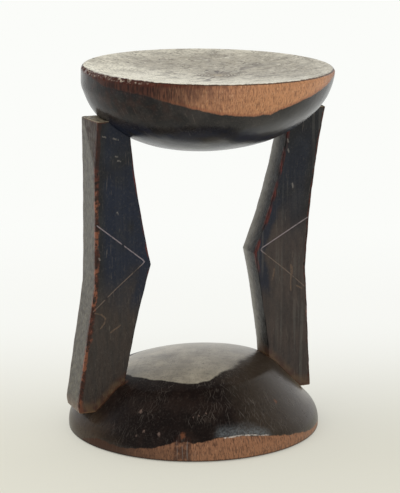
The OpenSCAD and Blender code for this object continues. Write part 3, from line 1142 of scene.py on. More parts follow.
@dataclass(frozen=True)
class BaseFinish(WoodFinish):
    """Finish of the base: scratched stain over a bare band along the foot, with a check in it."""

    name: str = "base_wood"
    stain: str = "#1b1412"
    stain_light: str = "#261c18"
    stain_east: str = "#43392e"
    stain_west: str = "#4a3b2c"
    east_painted_sheen: str = "#9c8e72"
    # The crown's colours: polished wood, made pale partly as a painted reflection
    crown: str = "#aaa08c"
    crown_mid: str = "#787061"
    crown_dark: str = "#5a5145"
    crown_brushed: str = "#b6ad98"
    knot: str = "#70432a"
    spot: str = "#7d675c"
    painted_haze_sheen: str = "#7e8487"
    chipped: str = "#c4bab0"
    by_check: str = "#3a2219"
    check: str = "#6b635e"
    floor_contact_shade: str = "#1c1411"
    leg_rub: str = "#57392a"
    bare_pale: str = "#996a4b"
    bare_mid: str = "#875e44"
    bare_glint: str = "#b98a66"
    bare_dark: str = "#3d2416"
    pore: str = "#4d3022"
    sole: str = "#6b4c37"
    sole_dark: str = "#3f2c21"
    radius: float = 0.1
    smooth: float = 0.25
    rough: float = 0.5

    def scratches(self, s: Shading, turn: Socket, reach: Socket, seed: float) -> Socket:
        """Fine scratches down the flank, in a few directions.

        Args:
            s: The material.
            turn: Length round the base.
            reach: Distance from its axis.
            seed: Shifts the pattern.

        Returns:
            1 on a scratch and 0 off it.
        """
        down = s.step(s.drawn(turn, reach, 0.0008, 0.010, seed, 0.1), 0.645, 0.71)
        slant = s.step(s.drawn(turn, reach, 0.0008, 0.012, seed + 3.0, 0.9), 0.66, 0.72)
        other = s.step(s.drawn(turn, reach, 0.0008, 0.011, seed + 6.0, -0.7), 0.66, 0.72)
        curls = s.times(s.veins(0.011, 0.009, 0.003, 0.0, seed), s.cloud(0.014, 0.6, 0.66, 1.0, seed + 9.0))
        return s.times(s.most(down, slant, other, curls), s.cloud(0.03, 0.36, 0.56, seed=seed))

    def end_grain(self, s: Shading, x: Value, y: Value) -> Socket:
        """Colour of the sole, where the log's end grain is scuffed and dusty.

        Args:
            s: The material.
            x: Place along X.
            y: Place along Y.

        Returns:
            The colour.
        """
        far = s.length(s.plus(x, -0.014), y)
        colour = s.between(self.sole_dark, self.sole, s.cloud(0.02, 0.35, 0.65, 5.0, 2.0))
        ring = s.rings(far, 0.0045, s.drift(0.03, 0.014, 3.0))
        colour = s.paint(colour, self.sole_dark, s.step(ring, -0.2, 1.0), 0.45)
        colour = s.paint(colour, self.dust, s.cloud(0.006, 0.5, 0.66, 5.0, 4.0), 0.5)
        return self.gritty(s, colour, 12.0, 0.3, 0.5)

    def sooty(self, s: Shading, x: Socket, height: Socket, east: Socket, west: Socket) -> Socket:
        """Stain of the flank, warmer at its west end, with a painted sheen at its east end.

        Args:
            s: The material.
            x: Place along X.
            height: Height above the floor.
            east: 1 towards the east end.
            west: 1 at the west end.

        Returns:
            The colour.
        """
        colour = s.paint(self.stained(s), self.stain_east, s.step(east, 0.75, 1.0), 0.7)
        # A painted sheen along the east end of the flank
        far_east = s.step(s.plus(x, s.drift(0.02, 0.012, 4.0, 4.0)), 0.07, 0.118)
        colour = s.paint(colour, self.east_painted_sheen, far_east, s.step(height, 0.014, 0.034), 0.75)
        colour = s.paint(colour, self.stain_west, west, 0.6)
        return self.gritty(s, colour, 4.0, 0.08, 0.5)

    def crown_polish_and_reflection(self, s: Shading, x: Socket, y: Socket) -> Socket:
        """Colour of the crown: rubbed and brushed, and pale partly as a painted reflection, most of all at the back.

        Args:
            s: The material.
            x: Place along X.
            y: Place along Y.

        Returns:
            The colour.
        """
        back = s.times(s.step(s.less(y, x), -0.03, 0.06), 0.16)
        pale = s.step(s.plus(s.lumps(0.024, 2.0, 3.0), back), 0.3, 0.86)
        colour = s.between(self.crown_mid, self.crown, pale)
        colour = s.paint(colour, self.crown_dark, s.cloud(0.005, 0.46, 0.74, 4.0, 13.0), 0.4)
        brushed = s.step(s.drawn(y, x, 0.0012, 0.012, 5.0, 0.4, 3.0), 0.54, 0.7)
        return self.gritty(s, s.paint(colour, self.crown_brushed, brushed, 0.3), 9.0, 0.15, 0.4)

    def polish(self, s: Shading, x: Socket) -> Socket:
        """1 on the rubbed crown and 0 off it, with a line that is softer and more broken in the east."""
        east = s.step(x, -0.012, 0.03)
        line = s.plus(s.mark("polish"), s.drift(0.006, 4.0 * MM, 2.0, 3.0),
                      s.times(s.drift(0.012, 12.0 * MM, 5.0, 3.0), east))
        return s.step(s.over(line, s.plus(1.0, s.times(east, 3.5))), -0.6 * MM, 1.2 * MM)

    def marked(self, s: Shading, colour: Socket, x: Socket, seed: float) -> Socket:
        """Lays the dents, the knots, a painted hazy sheen above the band and the chipped line over a colour.

        Args:
            s: The material.
            colour: The colour.
            x: Place along X.
            seed: Shifts the patterns.

        Returns:
            The colour with its marks.
        """
        wander = s.drift(0.002, 2.6 * MM, seed, 3.0)
        colour = s.paint(colour, self.spot, s.near("spot_gap", 2.0 * MM, 0.6 * MM, wander), 0.6)
        colour = s.paint(colour, self.knot, s.near("knot_gap", 2.4 * MM, 0.5 * MM, wander), 0.8)
        # A painted hazy sheen above the bare band, near the chipped line
        fading = s.times(s.step(x, 0.010, 0.050), 8.0 * MM)
        painted_haze_sheen = s.near("chipped_gap", 11.0 * MM, 1.0 * MM, s.plus(fading, s.drift(0.008, 5.0 * MM, 2.0, 3.0)))
        speckle = s.plus(0.35, s.times(s.cloud(0.0018, 0.4, 0.66, 3.0, 3.0), 0.5))
        colour = s.paint(colour, self.painted_haze_sheen, painted_haze_sheen, s.near("bare", 0.0, -1.0 * MM), speckle, 0.62)
        line = s.near("chipped_gap", 0.7 * MM, 0.1 * MM, s.drift(0.002, 1.2 * MM))
        return s.paint(colour, self.chipped, line, s.cloud(0.004, 0.36, 0.56, seed=2.0), 0.85)

    def checked(self, s: Shading, colour: Socket, turn: Socket, height: Socket) -> Socket:
        """Lays the checks, with the dark wood beside them, over a colour."""
        near = s.times(s.near("check_gap", 4.2 * MM, 1.5 * MM), s.cloud(0.004, 0.3, 0.55, seed=6.0))
        colour = s.paint(colour, self.by_check, near, 0.7)
        broken = s.step(s.drawn(turn, height, 0.0012, 0.02, 2.0), 0.36, 0.56)
        return s.paint(colour, self.check, s.near("check_gap", 0.9 * MM, 0.3 * MM), broken, 0.7)

    def build(self, seed: float) -> Material:
        """Makes the material.

        Args:
            seed: Shifts the patterns.

        Returns:
            The material.
        """
        s = Shading(self.name)
        turn, reach, height = s.round(UPRIGHT, self.radius)
        x, y, _ = s.parts(s.place)
        east = s.step(s.plus(x, s.drift(0.03, 0.03)), -0.128, 0.05)
        west = s.step(s.plus(x, s.drift(0.02, 0.012, 14.0, 4.0)), -0.088, -0.112)
        bare = s.near("bare", -0.5 * MM, 0.7 * MM, s.drift(0.006, 3.2 * MM, seed, 3.0))
        polish = self.polish(s, x)
        # On the crown, the polished colour that is partly a painted reflection; elsewhere the sooty stain
        upper = s.blend(polish, self.sooty(s, x, height, east, west), self.crown_polish_and_reflection(s, x, y))
        colour = s.blend(bare, upper, self.bare(s, east, turn, height))
        scratch = s.times(self.scratches(s, turn, reach, seed), s.less(1.0, s.times(polish, 0.7)),
                          s.plus(s.times(s.step(x, -0.085, -0.03), 0.65), 0.35))
        colour = s.paint(colour, self.scratch, scratch, 0.32)
        colour = self.checked(s, self.marked(s, colour, x, seed), turn, height)
        # Painted contact shade: darker along the bottom edge where the base meets the floor
        colour = s.paint(colour, self.floor_contact_shade, s.step(height, 2.4 * MM, 0.7 * MM), 0.8)
        colour = s.blend(s.step(height, 0.4 * MM, 0.15 * MM), colour, self.end_grain(s, x, y))
        rub = s.near("foot_gap", 2.4 * MM, 0.6 * MM, s.drift(0.004, 2.0 * MM, seed))
        colour = s.paint(colour, self.leg_rub, rub, s.step(height, 0.024, 0.03), 0.6)
        dull = s.plus(s.times(s.lumps(0.014, 3.0, 4.0), 0.3), s.times(bare, 0.6))
        pits = s.less(s.times(s.lumps(0.006, 3.0, 6.0), 0.4), s.times(scratch, 0.4))
        matte = s.most(s.times(s.less(1.0, polish), s.near("polish", -24.0 * MM, -12.0 * MM)), s.times(west, 0.6))
        return self.surface(s, colour, dull, pits, matte)


# Members of the stool


@dataclass
class Seat:
    """The dished seat with its bowl-shaped underside."""

    place: SeatPlace
    rim_round: float = 0.004
    rim_width: float = 0.0025
    dish_depth: float = 0.009
    edge_blend: float = 0.0012
    around: int = 512
    up: int = 190
    seed: float = 3.0
    mark_depth: float = 0.00024
    mark_size: float = 0.012
    edge_wear: float = 0.0009
    # How far below the widest line the rays start that find the surface, and those that find the chips
    heart_drop: float = 0.025
    chip_heart_drop: float = 0.020
    # Where rings crowd at the rim: height above the widest line, spread, and from where along X
    rim_rings: Place = (0.002, 0.005, 0.09)
    # Widths of the worn edge, of a chip's soft border and of the ragged stretch in from the crest
    worn_width: float = 0.002
    chip_border: float = 0.0012
    ragged_width: float = 0.007
    # How far the crest lies outside the rim's inner line, and the lip's line outside and below the crest
    crest_out: float = 0.0004
    lip_off: Point = (0.0007, 0.0004)
    # The bare crescent's lower edge: angle in degrees round the seat, and drop below its widest line
    crescent: tuple[Point, ...] = (
        (-176.0, -0.001), (-166.0, 0.0035), (-141.0, 0.007), (-107.0, 0.0217), (-94.0, 0.0245),
        (-82.0, 0.0242), (-77.0, 0.0205), (-52.0, 0.010), (-36.0, 0.003), (-24.0, -0.001),
    )
    # The chipped stretch of the rim: first and last angle in degrees, and the number of chips
    chipped: tuple[float, float, int] = (-196.0, -138.0, 18)
    # Least and largest radius of a chip's ball, and how deep it bites
    chip_radius: Point = (0.0020, 0.0052)
    chip_bite: Point = (0.0008, 0.0024)

    def top_at(self, reach: Array) -> Array:
        """Height of the top above the widest line.

        Args:
            reach: Distances from the seat's middle.

        Returns:
            The heights.
        """
        half = self.place.bowl.radius - self.rim_width
        ball = (half**2 + self.dish_depth**2) / (2.0 * self.dish_depth)
        inner = np.minimum(reach, 1.2 * half)
        dish = self.rim_round - self.dish_depth + ball - np.sqrt(ball**2 - inner**2)
        over = np.clip(reach - (self.place.bowl.radius - self.rim_round), 0.0, self.rim_round)
        edge = np.sqrt(self.rim_round**2 - over**2)
        return -smooth_max(-dish, -edge, self.edge_blend / 2.0)

    def chips(self) -> list[tuple[Array, float]]:
        """Balls that bite into the rim.

        Returns:
            Each ball's middle, from the seat's own, and radius.
        """
        rng = np.random.default_rng(11)
        first, last, count = self.chipped
        found = []
        for angle in np.radians(rng.uniform(first, last, count)):
            radius = rng.uniform(*self.chip_radius)
            clear = 0.70 * (radius - rng.uniform(*self.chip_bite))
            reach = self.place.bowl.radius - 0.0005 + clear
            height = self.rim_round - 0.001 + clear
            found.append((np.array([reach * math.cos(angle), reach * math.sin(angle), height]), radius))
        return found

    def outside(self, points: Array) -> Array:
        """How far points lie outside the seat.

        Args:
            points: The points.

        Returns:
            One distance per point, negative inside the seat.
        """
        half, height = self.place.bowl.section().T
        in_bowl = self.place.in_bowl(points)
        bowl = np.hypot(in_bowl[..., 0], in_bowl[..., 1]) - np.interp(in_bowl[..., 2], height, half, left=-1.0)
        in_rim = self.place.in_rim(points)
        reach = np.hypot(in_rim[..., 0], in_rim[..., 1])
        side = reach - self.place.bowl.radius
        top = in_rim[..., 2] - self.top_at(reach)
        return smooth_max(bowl, smooth_max(side, top, 0.2 * MM), self.edge_blend)

    def directions(self, rise: Array) -> Array:
        """Unit vectors all round at each rise above the level, in radians."""
        turn = np.linspace(0.0, math.tau, self.around, endpoint=False)
        level = np.stack([np.cos(turn), np.sin(turn)], axis=-1)
        flat = np.cos(rise)[:, None, None] * level[None]
        tall = np.broadcast_to(np.sin(rise)[:, None, None], (len(rise), self.around, 1))
        return np.concatenate([flat, tall], axis=-1)

    def cast(self, ways: Array, heart: Array) -> Array:
        """Points where rays from inside the seat leave it.

        Args:
            ways: Unit vectors of the rays.
            heart: The point that they start from.

        Returns:
            One point per ray.
        """
        near, far = np.zeros(ways.shape[:-1]), np.full(ways.shape[:-1], 2.0 * self.place.bowl.radius)
        for _ in range(26):
            half = (near + far) / 2.0
            out = self.outside(heart + half[..., None] * ways) > 0.0
            near, far = np.where(out, near, half), np.where(out, half, far)
        return heart + near[..., None] * ways

    def even_rises(self, heart: Array) -> Array:
        """Rises of the rays that space the rings evenly, with more rings at the rim.

        Args:
            heart: The point that the rays start from.

        Returns:
            The rises, in radians above the level.
        """
        dense = np.linspace(-math.pi / 2.0 + 1e-4, math.pi / 2.0 - 1e-4, 3000)
        turn = np.stack([np.cos(dense), np.zeros_like(dense), np.sin(dense)], axis=-1)
        line = self.cast(turn, heart)
        gaps = np.linalg.norm(np.diff(line, axis=0), axis=1)
        level, spread, beyond = self.rim_rings
        rim = np.exp(-((line[1:, 2] - self.place.line_height - level) / spread) ** 2) * (line[1:, 0] > beyond)
        way = np.concatenate([[0.0], np.cumsum(gaps * (1.0 + 3.0 * rim))])
        return np.interp(np.linspace(0.0, way[-1], self.up + 2)[1:-1], way, dense)

    def marks(self, points: Array) -> dict[str, Array]:
        """Masks for the finish, as lengths or shares at each point.

        Args:
            points: Points of the seat's surface.

        Returns:
            The masks by name.
        """
        local = points - self.place.middle
        angle = round_angle(local)
        drop = np.interp(angle, *np.array(self.crescent).T, left=BURIED, right=BURIED)
        in_rim = self.place.in_rim(points)
        reach = np.hypot(in_rim[..., 0], in_rim[..., 1])
        at_rim = np.exp(-np.abs(reach - self.place.bowl.radius) / self.worn_width) * (in_rim[..., 2] > 0.0)
        crest = self.place.bowl.radius - self.rim_width + self.crest_out
        upper = np.minimum(crest - reach, in_rim[..., 2] - self.top_at(reach) + 0.002)
        first, last, _ = self.chipped
        ragged = smooth_step(angle, first, first + 12.0) * (1.0 - smooth_step(angle, last - 14.0, last + 4.0))
        chip = np.zeros(points.shape[:-1])
        for middle, radius in self.chips():
            gap = np.linalg.norm(in_rim - middle, axis=-1) - radius
            chip = np.maximum(chip, 1.0 - smooth_step(gap, -0.0002, self.chip_border))
        return {
            "bare": drop + local[..., 2],
            "top": upper,
            "lip_gap": np.hypot(reach - crest - self.lip_off[0], in_rim[..., 2] - self.rim_round + self.lip_off[1]),
            "chip": chip,
            "ragged": ragged * smooth_step(reach, crest - self.ragged_width, crest - 0.003),
            "edge": at_rim * (0.5 + 1.5 * ragged),
        }

    def bitten(self, points: Array) -> Array:
        """Points moved in where a chip is missing from the rim.

        Args:
            points: Points of the surface.

        Returns:
            The moved points.
        """
        in_rim = self.place.in_rim(points)
        heart = np.array([0.0, 0.0, -self.chip_heart_drop])
        for middle, radius in self.chips():
            way = in_rim - heart
            length = np.linalg.norm(way, axis=-1, keepdims=True)
            way = way / length
            to_middle = middle - heart
            along = way @ to_middle
            clear = (to_middle @ to_middle) - along**2
            hit = along - np.sqrt(np.maximum(radius**2 - clear, 0.0))
            bite = (along > 0.0) & (clear < radius**2) & (hit < length[..., 0])
            in_rim = np.where(bite[..., None], heart + hit[..., None] * way, in_rim)
        return turned(in_rim, self.place.lean.axis, self.place.lean.top_fall) + self.place.middle

    def build(self, carving: GeometryTree, finish: SeatFinish) -> Piece:
        """Makes the seat.

        Args:
            carving: The tree that marks and dresses it.
            finish: Its finish.

        Returns:
            The finished piece.
        """
        heart = self.place.middle - np.array([0.0, 0.0, self.heart_drop])
        rings = self.cast(self.directions(self.even_rises(heart)), heart)
        poles = self.cast(np.array([[0.0, 0.0, -1.0], [0.0, 0.0, 1.0]]), heart)
        piece = skin_of_rings("carved_seat", self.bitten(rings), (poles[0], poles[1]), self.marks(rings))
        carving.apply(piece, {
            "Mark depth": self.mark_depth, "Edge depth": self.edge_wear, "Mark size": self.mark_size,
            "Seed": self.seed, "Finish": finish.build(self.seed),
        })
        return piece


@dataclass
class Leg:
    """One broad leg, with an elbow on its inner edge and a waist on its outer face."""

    side: Side
    thick: float
    place: SeatPlace
    dome: DomeShape
    foot_out: float
    gap_top_half: float
    hollow_in: float
    hollow_out: float
    hollow_low: float = 0.0022
    foot_height: float = 0.025
    foot_shift: float = 0.0022
    mid_bow: float = 0.0013
    ledge_height: float = 0.279
    ledge_inset: float = 0.001
    waist_height: float = 0.135
    waist_half: float = 0.0998
    elbow_height: float = 0.152
    elbow_half: float = 0.049
    gap_foot_half: float = 0.072
    sink: float = 0.0006
    corner: float = 0.0011
    end_round: float = 0.0007
    seed: float = 5.0
    mark_depth: float = 0.00022
    mark_size: float = 0.019
    # The incised mark: heights of its two outer ends, its apex and how far that lies off the elbow
    incised_top: float = 0.190
    incised_low: float = 0.115
    apex_rise: float = 0.0028
    apex_gap: float = 0.0062
    apex_round: Point = (0.0015, 0.0018)
    low_sag: Point = (0.002, 0.0012)
    end_inset: float = 0.0018
    # Its depth, and half its width and a nick's
    cut_depth: float = 0.00045
    cut_half: float = 0.0007
    nick_half: float = 0.0008
    # Number of rings between the rounded ends, and width of the edge that wear eats into
    up: int = 345
    worn_width: float = 0.0016
    # How deep the long edges are worn at most, and how far the inner face stands out between them
    ragged: float = 0.0002
    bulge: float = 0.0009
    # How far the outer face curls in at the foot, and over which height
    curl: float = 0.0
    curl_height: float = 0.011
    # Stretches of the outer front edge that are worn bare, as (height, half length)
    worn_spots: tuple[Point, ...] = ()
    # Nicks and scratches on the front, as bent lines of (x, z)
    nicks: tuple[tuple[Point, ...], ...] = ()
    # Bevel at the top of the outer front edge: where it starts, and what it takes off either face
    bevel_from: float = 0.236
    bevel_front: float = 0.0
    bevel_side: float = 0.029

    def climb(self, z: Array) -> Array:
        """Share of the way from the feet up to the ledges."""
        return (z - self.foot_height) / (self.ledge_height - self.foot_height)

    def middle_at(self, z: Array) -> Array:
        """Place of the middle between the two legs at a height."""
        share = self.climb(z)
        top = self.place.middle[0]
        return -self.foot_shift + (top + self.foot_shift) * share - 4.0 * self.mid_bow * share * (1.0 - share)

    def edge_at(self, z: Array, corners: Sequence[Place]) -> Array:
        """Place of one of the leg's edges along X.

        Args:
            z: Heights.
            corners: The edge's corners from the foot up, as (half gap, height, hollow above it).

        Returns:
            X at each height, hollowed between the corners.
        """
        sign = self.side.value
        heights = [c[1] for c in corners]
        xs = [float(self.middle_at(np.array(c[1]))) + sign * c[0] for c in corners]
        line = np.interp(z, heights, xs)
        for (_, low, deep), high in zip(corners[:-1], heights[1:]):
            share = np.clip((z - low) / (high - low), 0.0, 1.0)
            line = line + sign * deep * 4.0 * share * (1.0 - share)
        return line

    def inner_at(self, z: Array) -> Array:
        """Place of the inner edge along X."""
        return self.edge_at(z, [
            (self.gap_foot_half, self.foot_height, self.hollow_low),
            (self.elbow_half, self.elbow_height, self.hollow_in),
            (self.gap_top_half, self.ledge_height, 0.0),
        ])

    def outer_at(self, z: Array) -> Array:
        """Place of the outer face.

        Args:
            z: Heights.

        Returns:
            X at each height.
        """
        line = self.edge_at(z, [
            (self.dome.radius + self.foot_out, self.foot_height, 0.0),
            (self.waist_half, self.waist_height, -self.hollow_out),
            (self.place.bowl.radius - self.ledge_inset, self.ledge_height, 0.0),
        ])
        low = np.clip(1.0 - (z - self.foot_height) / self.curl_height, 0.0, 1.0)
        return line - self.side.value * self.curl * low**2

    def loop(self) -> Loop:
        """The section's points, for any width.

        Returns:
            Share across the width, corner direction across it, share through the thickness
            (-1 at the front, 1 at the back), and corner direction through it.
        """
        corners = np.array([(0.0, -1.0), (1.0, -1.0), (1.0, 1.0), (0.0, 1.0)])
        faces = ((120, 0.0, -1.0), (20, 1.0, 0.0), (40, 0.0, 1.0), (20, -1.0, 0.0))
        rows: list[tuple[float, float, float, float]] = []
        for k, (count, way_across, way_through) in enumerate(faces):
            start, end = corners[k], corners[(k + 1) % 4]
            for t in np.linspace(0.0, 1.0, count):
                across, through = start + (end - start) * t
                rows.append((across, way_across, through, way_through))
            for a in np.radians(np.linspace(90.0 * (k - 1), 90.0 * k, 7)[1:-1]):
                rows.append((end[0], math.cos(a), end[1], math.sin(a)))
        table = np.array(rows)
        if self.side is Side.LEFT:
            table = table[::-1]
        return table[:, 0], table[:, 1], table[:, 2], table[:, 3]

    def section_at(self, z: Array, loop: Loop, shrink: Array) -> tuple[Array, Array]:
        """Points of the section at given heights.

        Args:
            z: Heights, one per point.
            loop: What loop() returns.
            shrink: How much of the section's size is left, one value or one per point.

        Returns:
            X and Y of the points.
        """
        across, way_across, through, way_through = loop
        inner, outer = self.inner_at(z), self.outer_at(z)
        radius = self.corner * (0.8 + 0.5 * np.sin(z * 190.0 + self.seed) * np.sin(z * 83.0 + 2.0 * self.seed))
        y = through * (self.thick / 2.0 - radius) + radius * way_through
        width = np.abs(outer - inner) - self.bevel_front * self.bevel_at(y, z)
        from_inner = radius + across * (width - 2.0 * radius) + radius * way_across
        from_inner = from_inner - self.bulge * (1.0 - through**2) * (across < 0.001)
        from_inner = width / 2.0 + (from_inner - width / 2.0) * shrink
        return inner + self.side.value * from_inner, y * shrink

    def bevel_at(self, y: Array, z: Array) -> Array:
        """Share of the bevel's width that is cut away at a place of the thickness, at a height."""
        rise = np.clip((z - self.bevel_from) / (self.ledge_height - self.bevel_from), 0.0, 1.0)
        return np.clip(rise - (y + self.thick / 2.0) / self.bevel_side, 0.0, 1.0)

    def ends(self, loop: Loop, shrink: float) -> tuple[Array, Array]:
        """Heights of the leg's lower and upper end.

        Args:
            loop: What loop() returns.
            shrink: How much of the section's size is left.

        Returns:
            The two heights at each point of the section.
        """
        low = np.full(loop[0].shape, 0.05)
        high = np.full(loop[0].shape, 0.26)
        for _ in range(8):
            x, y = self.section_at(low, loop, np.array(shrink))
            low = np.maximum(self.foot_height, self.dome.top_at(x, y, self.place.lean) - self.sink)
            x, y = self.section_at(high, loop, np.array(shrink))
            high = np.minimum(self.ledge_height, self.place.underside_at(x, y) + self.sink)
        return low, high

    def incised(self) -> list[Point]:
        """Corners of the incised mark.

        Returns:
            The corners as (x, z), from the upper end to the lower one.
        """
        sign = self.side.value
        elbow = float(self.inner_at(np.array(self.elbow_height)))
        apex = elbow + sign * self.apex_gap
        ends = [float(self.outer_at(np.array(z))) - sign * self.end_inset
                for z in (self.incised_top, self.incised_low)]
        tip = self.elbow_height + self.apex_rise
        beside, above = self.apex_round
        return [
            (ends[0], self.incised_top),
            (apex + sign * beside, tip + above),
            (apex, tip),
            (apex + sign * beside, tip - above),
            ((apex + ends[1]) / 2.0 + sign * self.low_sag[0], (tip + self.incised_low) / 2.0 - self.low_sag[1]),
            (ends[1], self.incised_low),
        ]

    def surface(self) -> tuple[Array, dict[str, Array]]:
        """Rings of the leg from its foot to its ledge.

        Returns:
            The rings, and the masks for the finish.
        """
        loop = self.loop()
        low, high = self.ends(loop, 1.0)
        faces = [(float(share), self.ends(loop, float(share))) for share in np.linspace(0.04, 0.96, 11)]
        bends = [(1.0 - self.end_round * (1.0 - math.sin(a)) / (self.thick / 2.0), self.end_round * (1.0 - math.cos(a)))
                 for a in np.radians(np.linspace(0.0, 90.0, 4))[:-1]]
        length = high - low - 2.0 * self.end_round
        rows = [(share, at[0]) for share, at in faces]
        rows += [(share, low + rise) for share, rise in bends]
        rows += [(1.0, low + self.end_round + length * share) for share in np.linspace(0.0, 1.0, self.up)]
        rows += [(share, high - rise) for share, rise in bends[::-1]]
        rows += [(share, at[1]) for share, at in faces[::-1]]
        points = np.stack([np.stack([*self.section_at(z, loop, np.array(share)), z], axis=-1) for share, z in rows])
        return points, self.marks(points, loop, low, high)

    def marks(self, points: Array, loop: Loop, low: Array, high: Array) -> dict[str, Array]:
        """Masks for the finish.

        Args:
            points: The rings.
            loop: What loop() returns.
            low: Height of the lower end round the section.
            high: Height of the upper end.

        Returns:
            The masks by name.
        """
        across, way_across, through, way_through = loop
        x, y, z = np.moveaxis(points, -1, 0)
        width = np.abs(self.outer_at(z) - self.inner_at(z))
        from_front, from_back = (1.0 + through) * self.thick / 2.0, (1.0 - through) * self.thick / 2.0
        outer_gap = np.hypot((1.0 - across) * width, from_front)
        inner_gap = np.hypot(across * width, from_front)
        back_gap = np.minimum(np.hypot((1.0 - across) * width, from_back), np.hypot(across * width, from_back))
        worn = np.zeros_like(z)
        for height, half in self.worn_spots:
            worn = np.maximum(worn, np.exp(-(((z - height) / half) ** 2)))
        on_front = (through < -0.99) & (way_through < -0.01)
        flat = np.stack([x, z], axis=-1)
        incised = np.where(on_front, line_gap(flat, self.incised()), FAR)
        nick = np.full(z.shape, FAR)
        for line in self.nicks:
            nick = np.minimum(nick, np.where(on_front, line_gap(flat, line), FAR))
        on_bevel = self.bevel_front * self.bevel_at(y, z) / max(self.bevel_front, 1e-9)
        nearest = np.minimum(np.minimum(outer_gap, inner_gap), back_gap)
        on_inner = (across < 0.001) & (way_across < -0.4)
        on_broad = np.abs(way_through) > 0.75
        return {
            "edge": np.exp(-nearest / self.worn_width),
            "edge_gap": back_gap,
            "outer_gap": outer_gap,
            "inner_gap": inner_gap,
            "worn": worn,
            "foot_gap": np.maximum(z - low, 0.0),
            "crest_gap": np.where(high > self.ledge_height - 1e-5, np.maximum(high - z, 0.0), FAR),
            "broad": np.broadcast_to(on_broad.astype(float), z.shape),
            "inner_share": np.broadcast_to(np.where(on_inner, 0.02 + 0.49 * (1.0 + through), 0.0), z.shape),
            "incised_gap": incised,
            "nick_gap": nick,
            "facet": smooth_step(on_bevel, 0.02, 0.1) * (across > 0.9),
            "ledge": smooth_step(z, self.ledge_height - 0.0006, self.ledge_height - 0.0002),
        }

    def cut_in(self, points: Array, marks: dict[str, Array]) -> Array:
        """The rings with the incised mark and the nicks cut into the front face."""
        groove = self.cut_depth * np.clip(1.0 - marks["incised_gap"] / self.cut_half, 0.0, 1.0)
        nick = 0.5 * self.cut_depth * np.clip(1.0 - marks["nick_gap"] / self.nick_half, 0.0, 1.0)
        cut = points.copy()
        cut[..., 1] += groove + nick
        return cut

    def build(self, carving: GeometryTree, finish: LegFinish) -> Piece:
        """Makes the leg.

        Args:
            carving: The tree that marks and dresses it.
            finish: Its finish.

        Returns:
            The finished piece.
        """
        points, marks = self.surface()
        cut = self.cut_in(points, marks)
        poles = (cut[0].mean(axis=0), cut[-1].mean(axis=0))
        piece = skin_of_rings(f"carved_{self.side.name.lower()}_leg", cut, poles, marks)
        carving.apply(piece, {
            "Mark depth": self.mark_depth, "Edge depth": self.ragged, "Mark size": self.mark_size,
            "Seed": self.seed, "Finish": finish.build(self.seed),
        })
        return piece


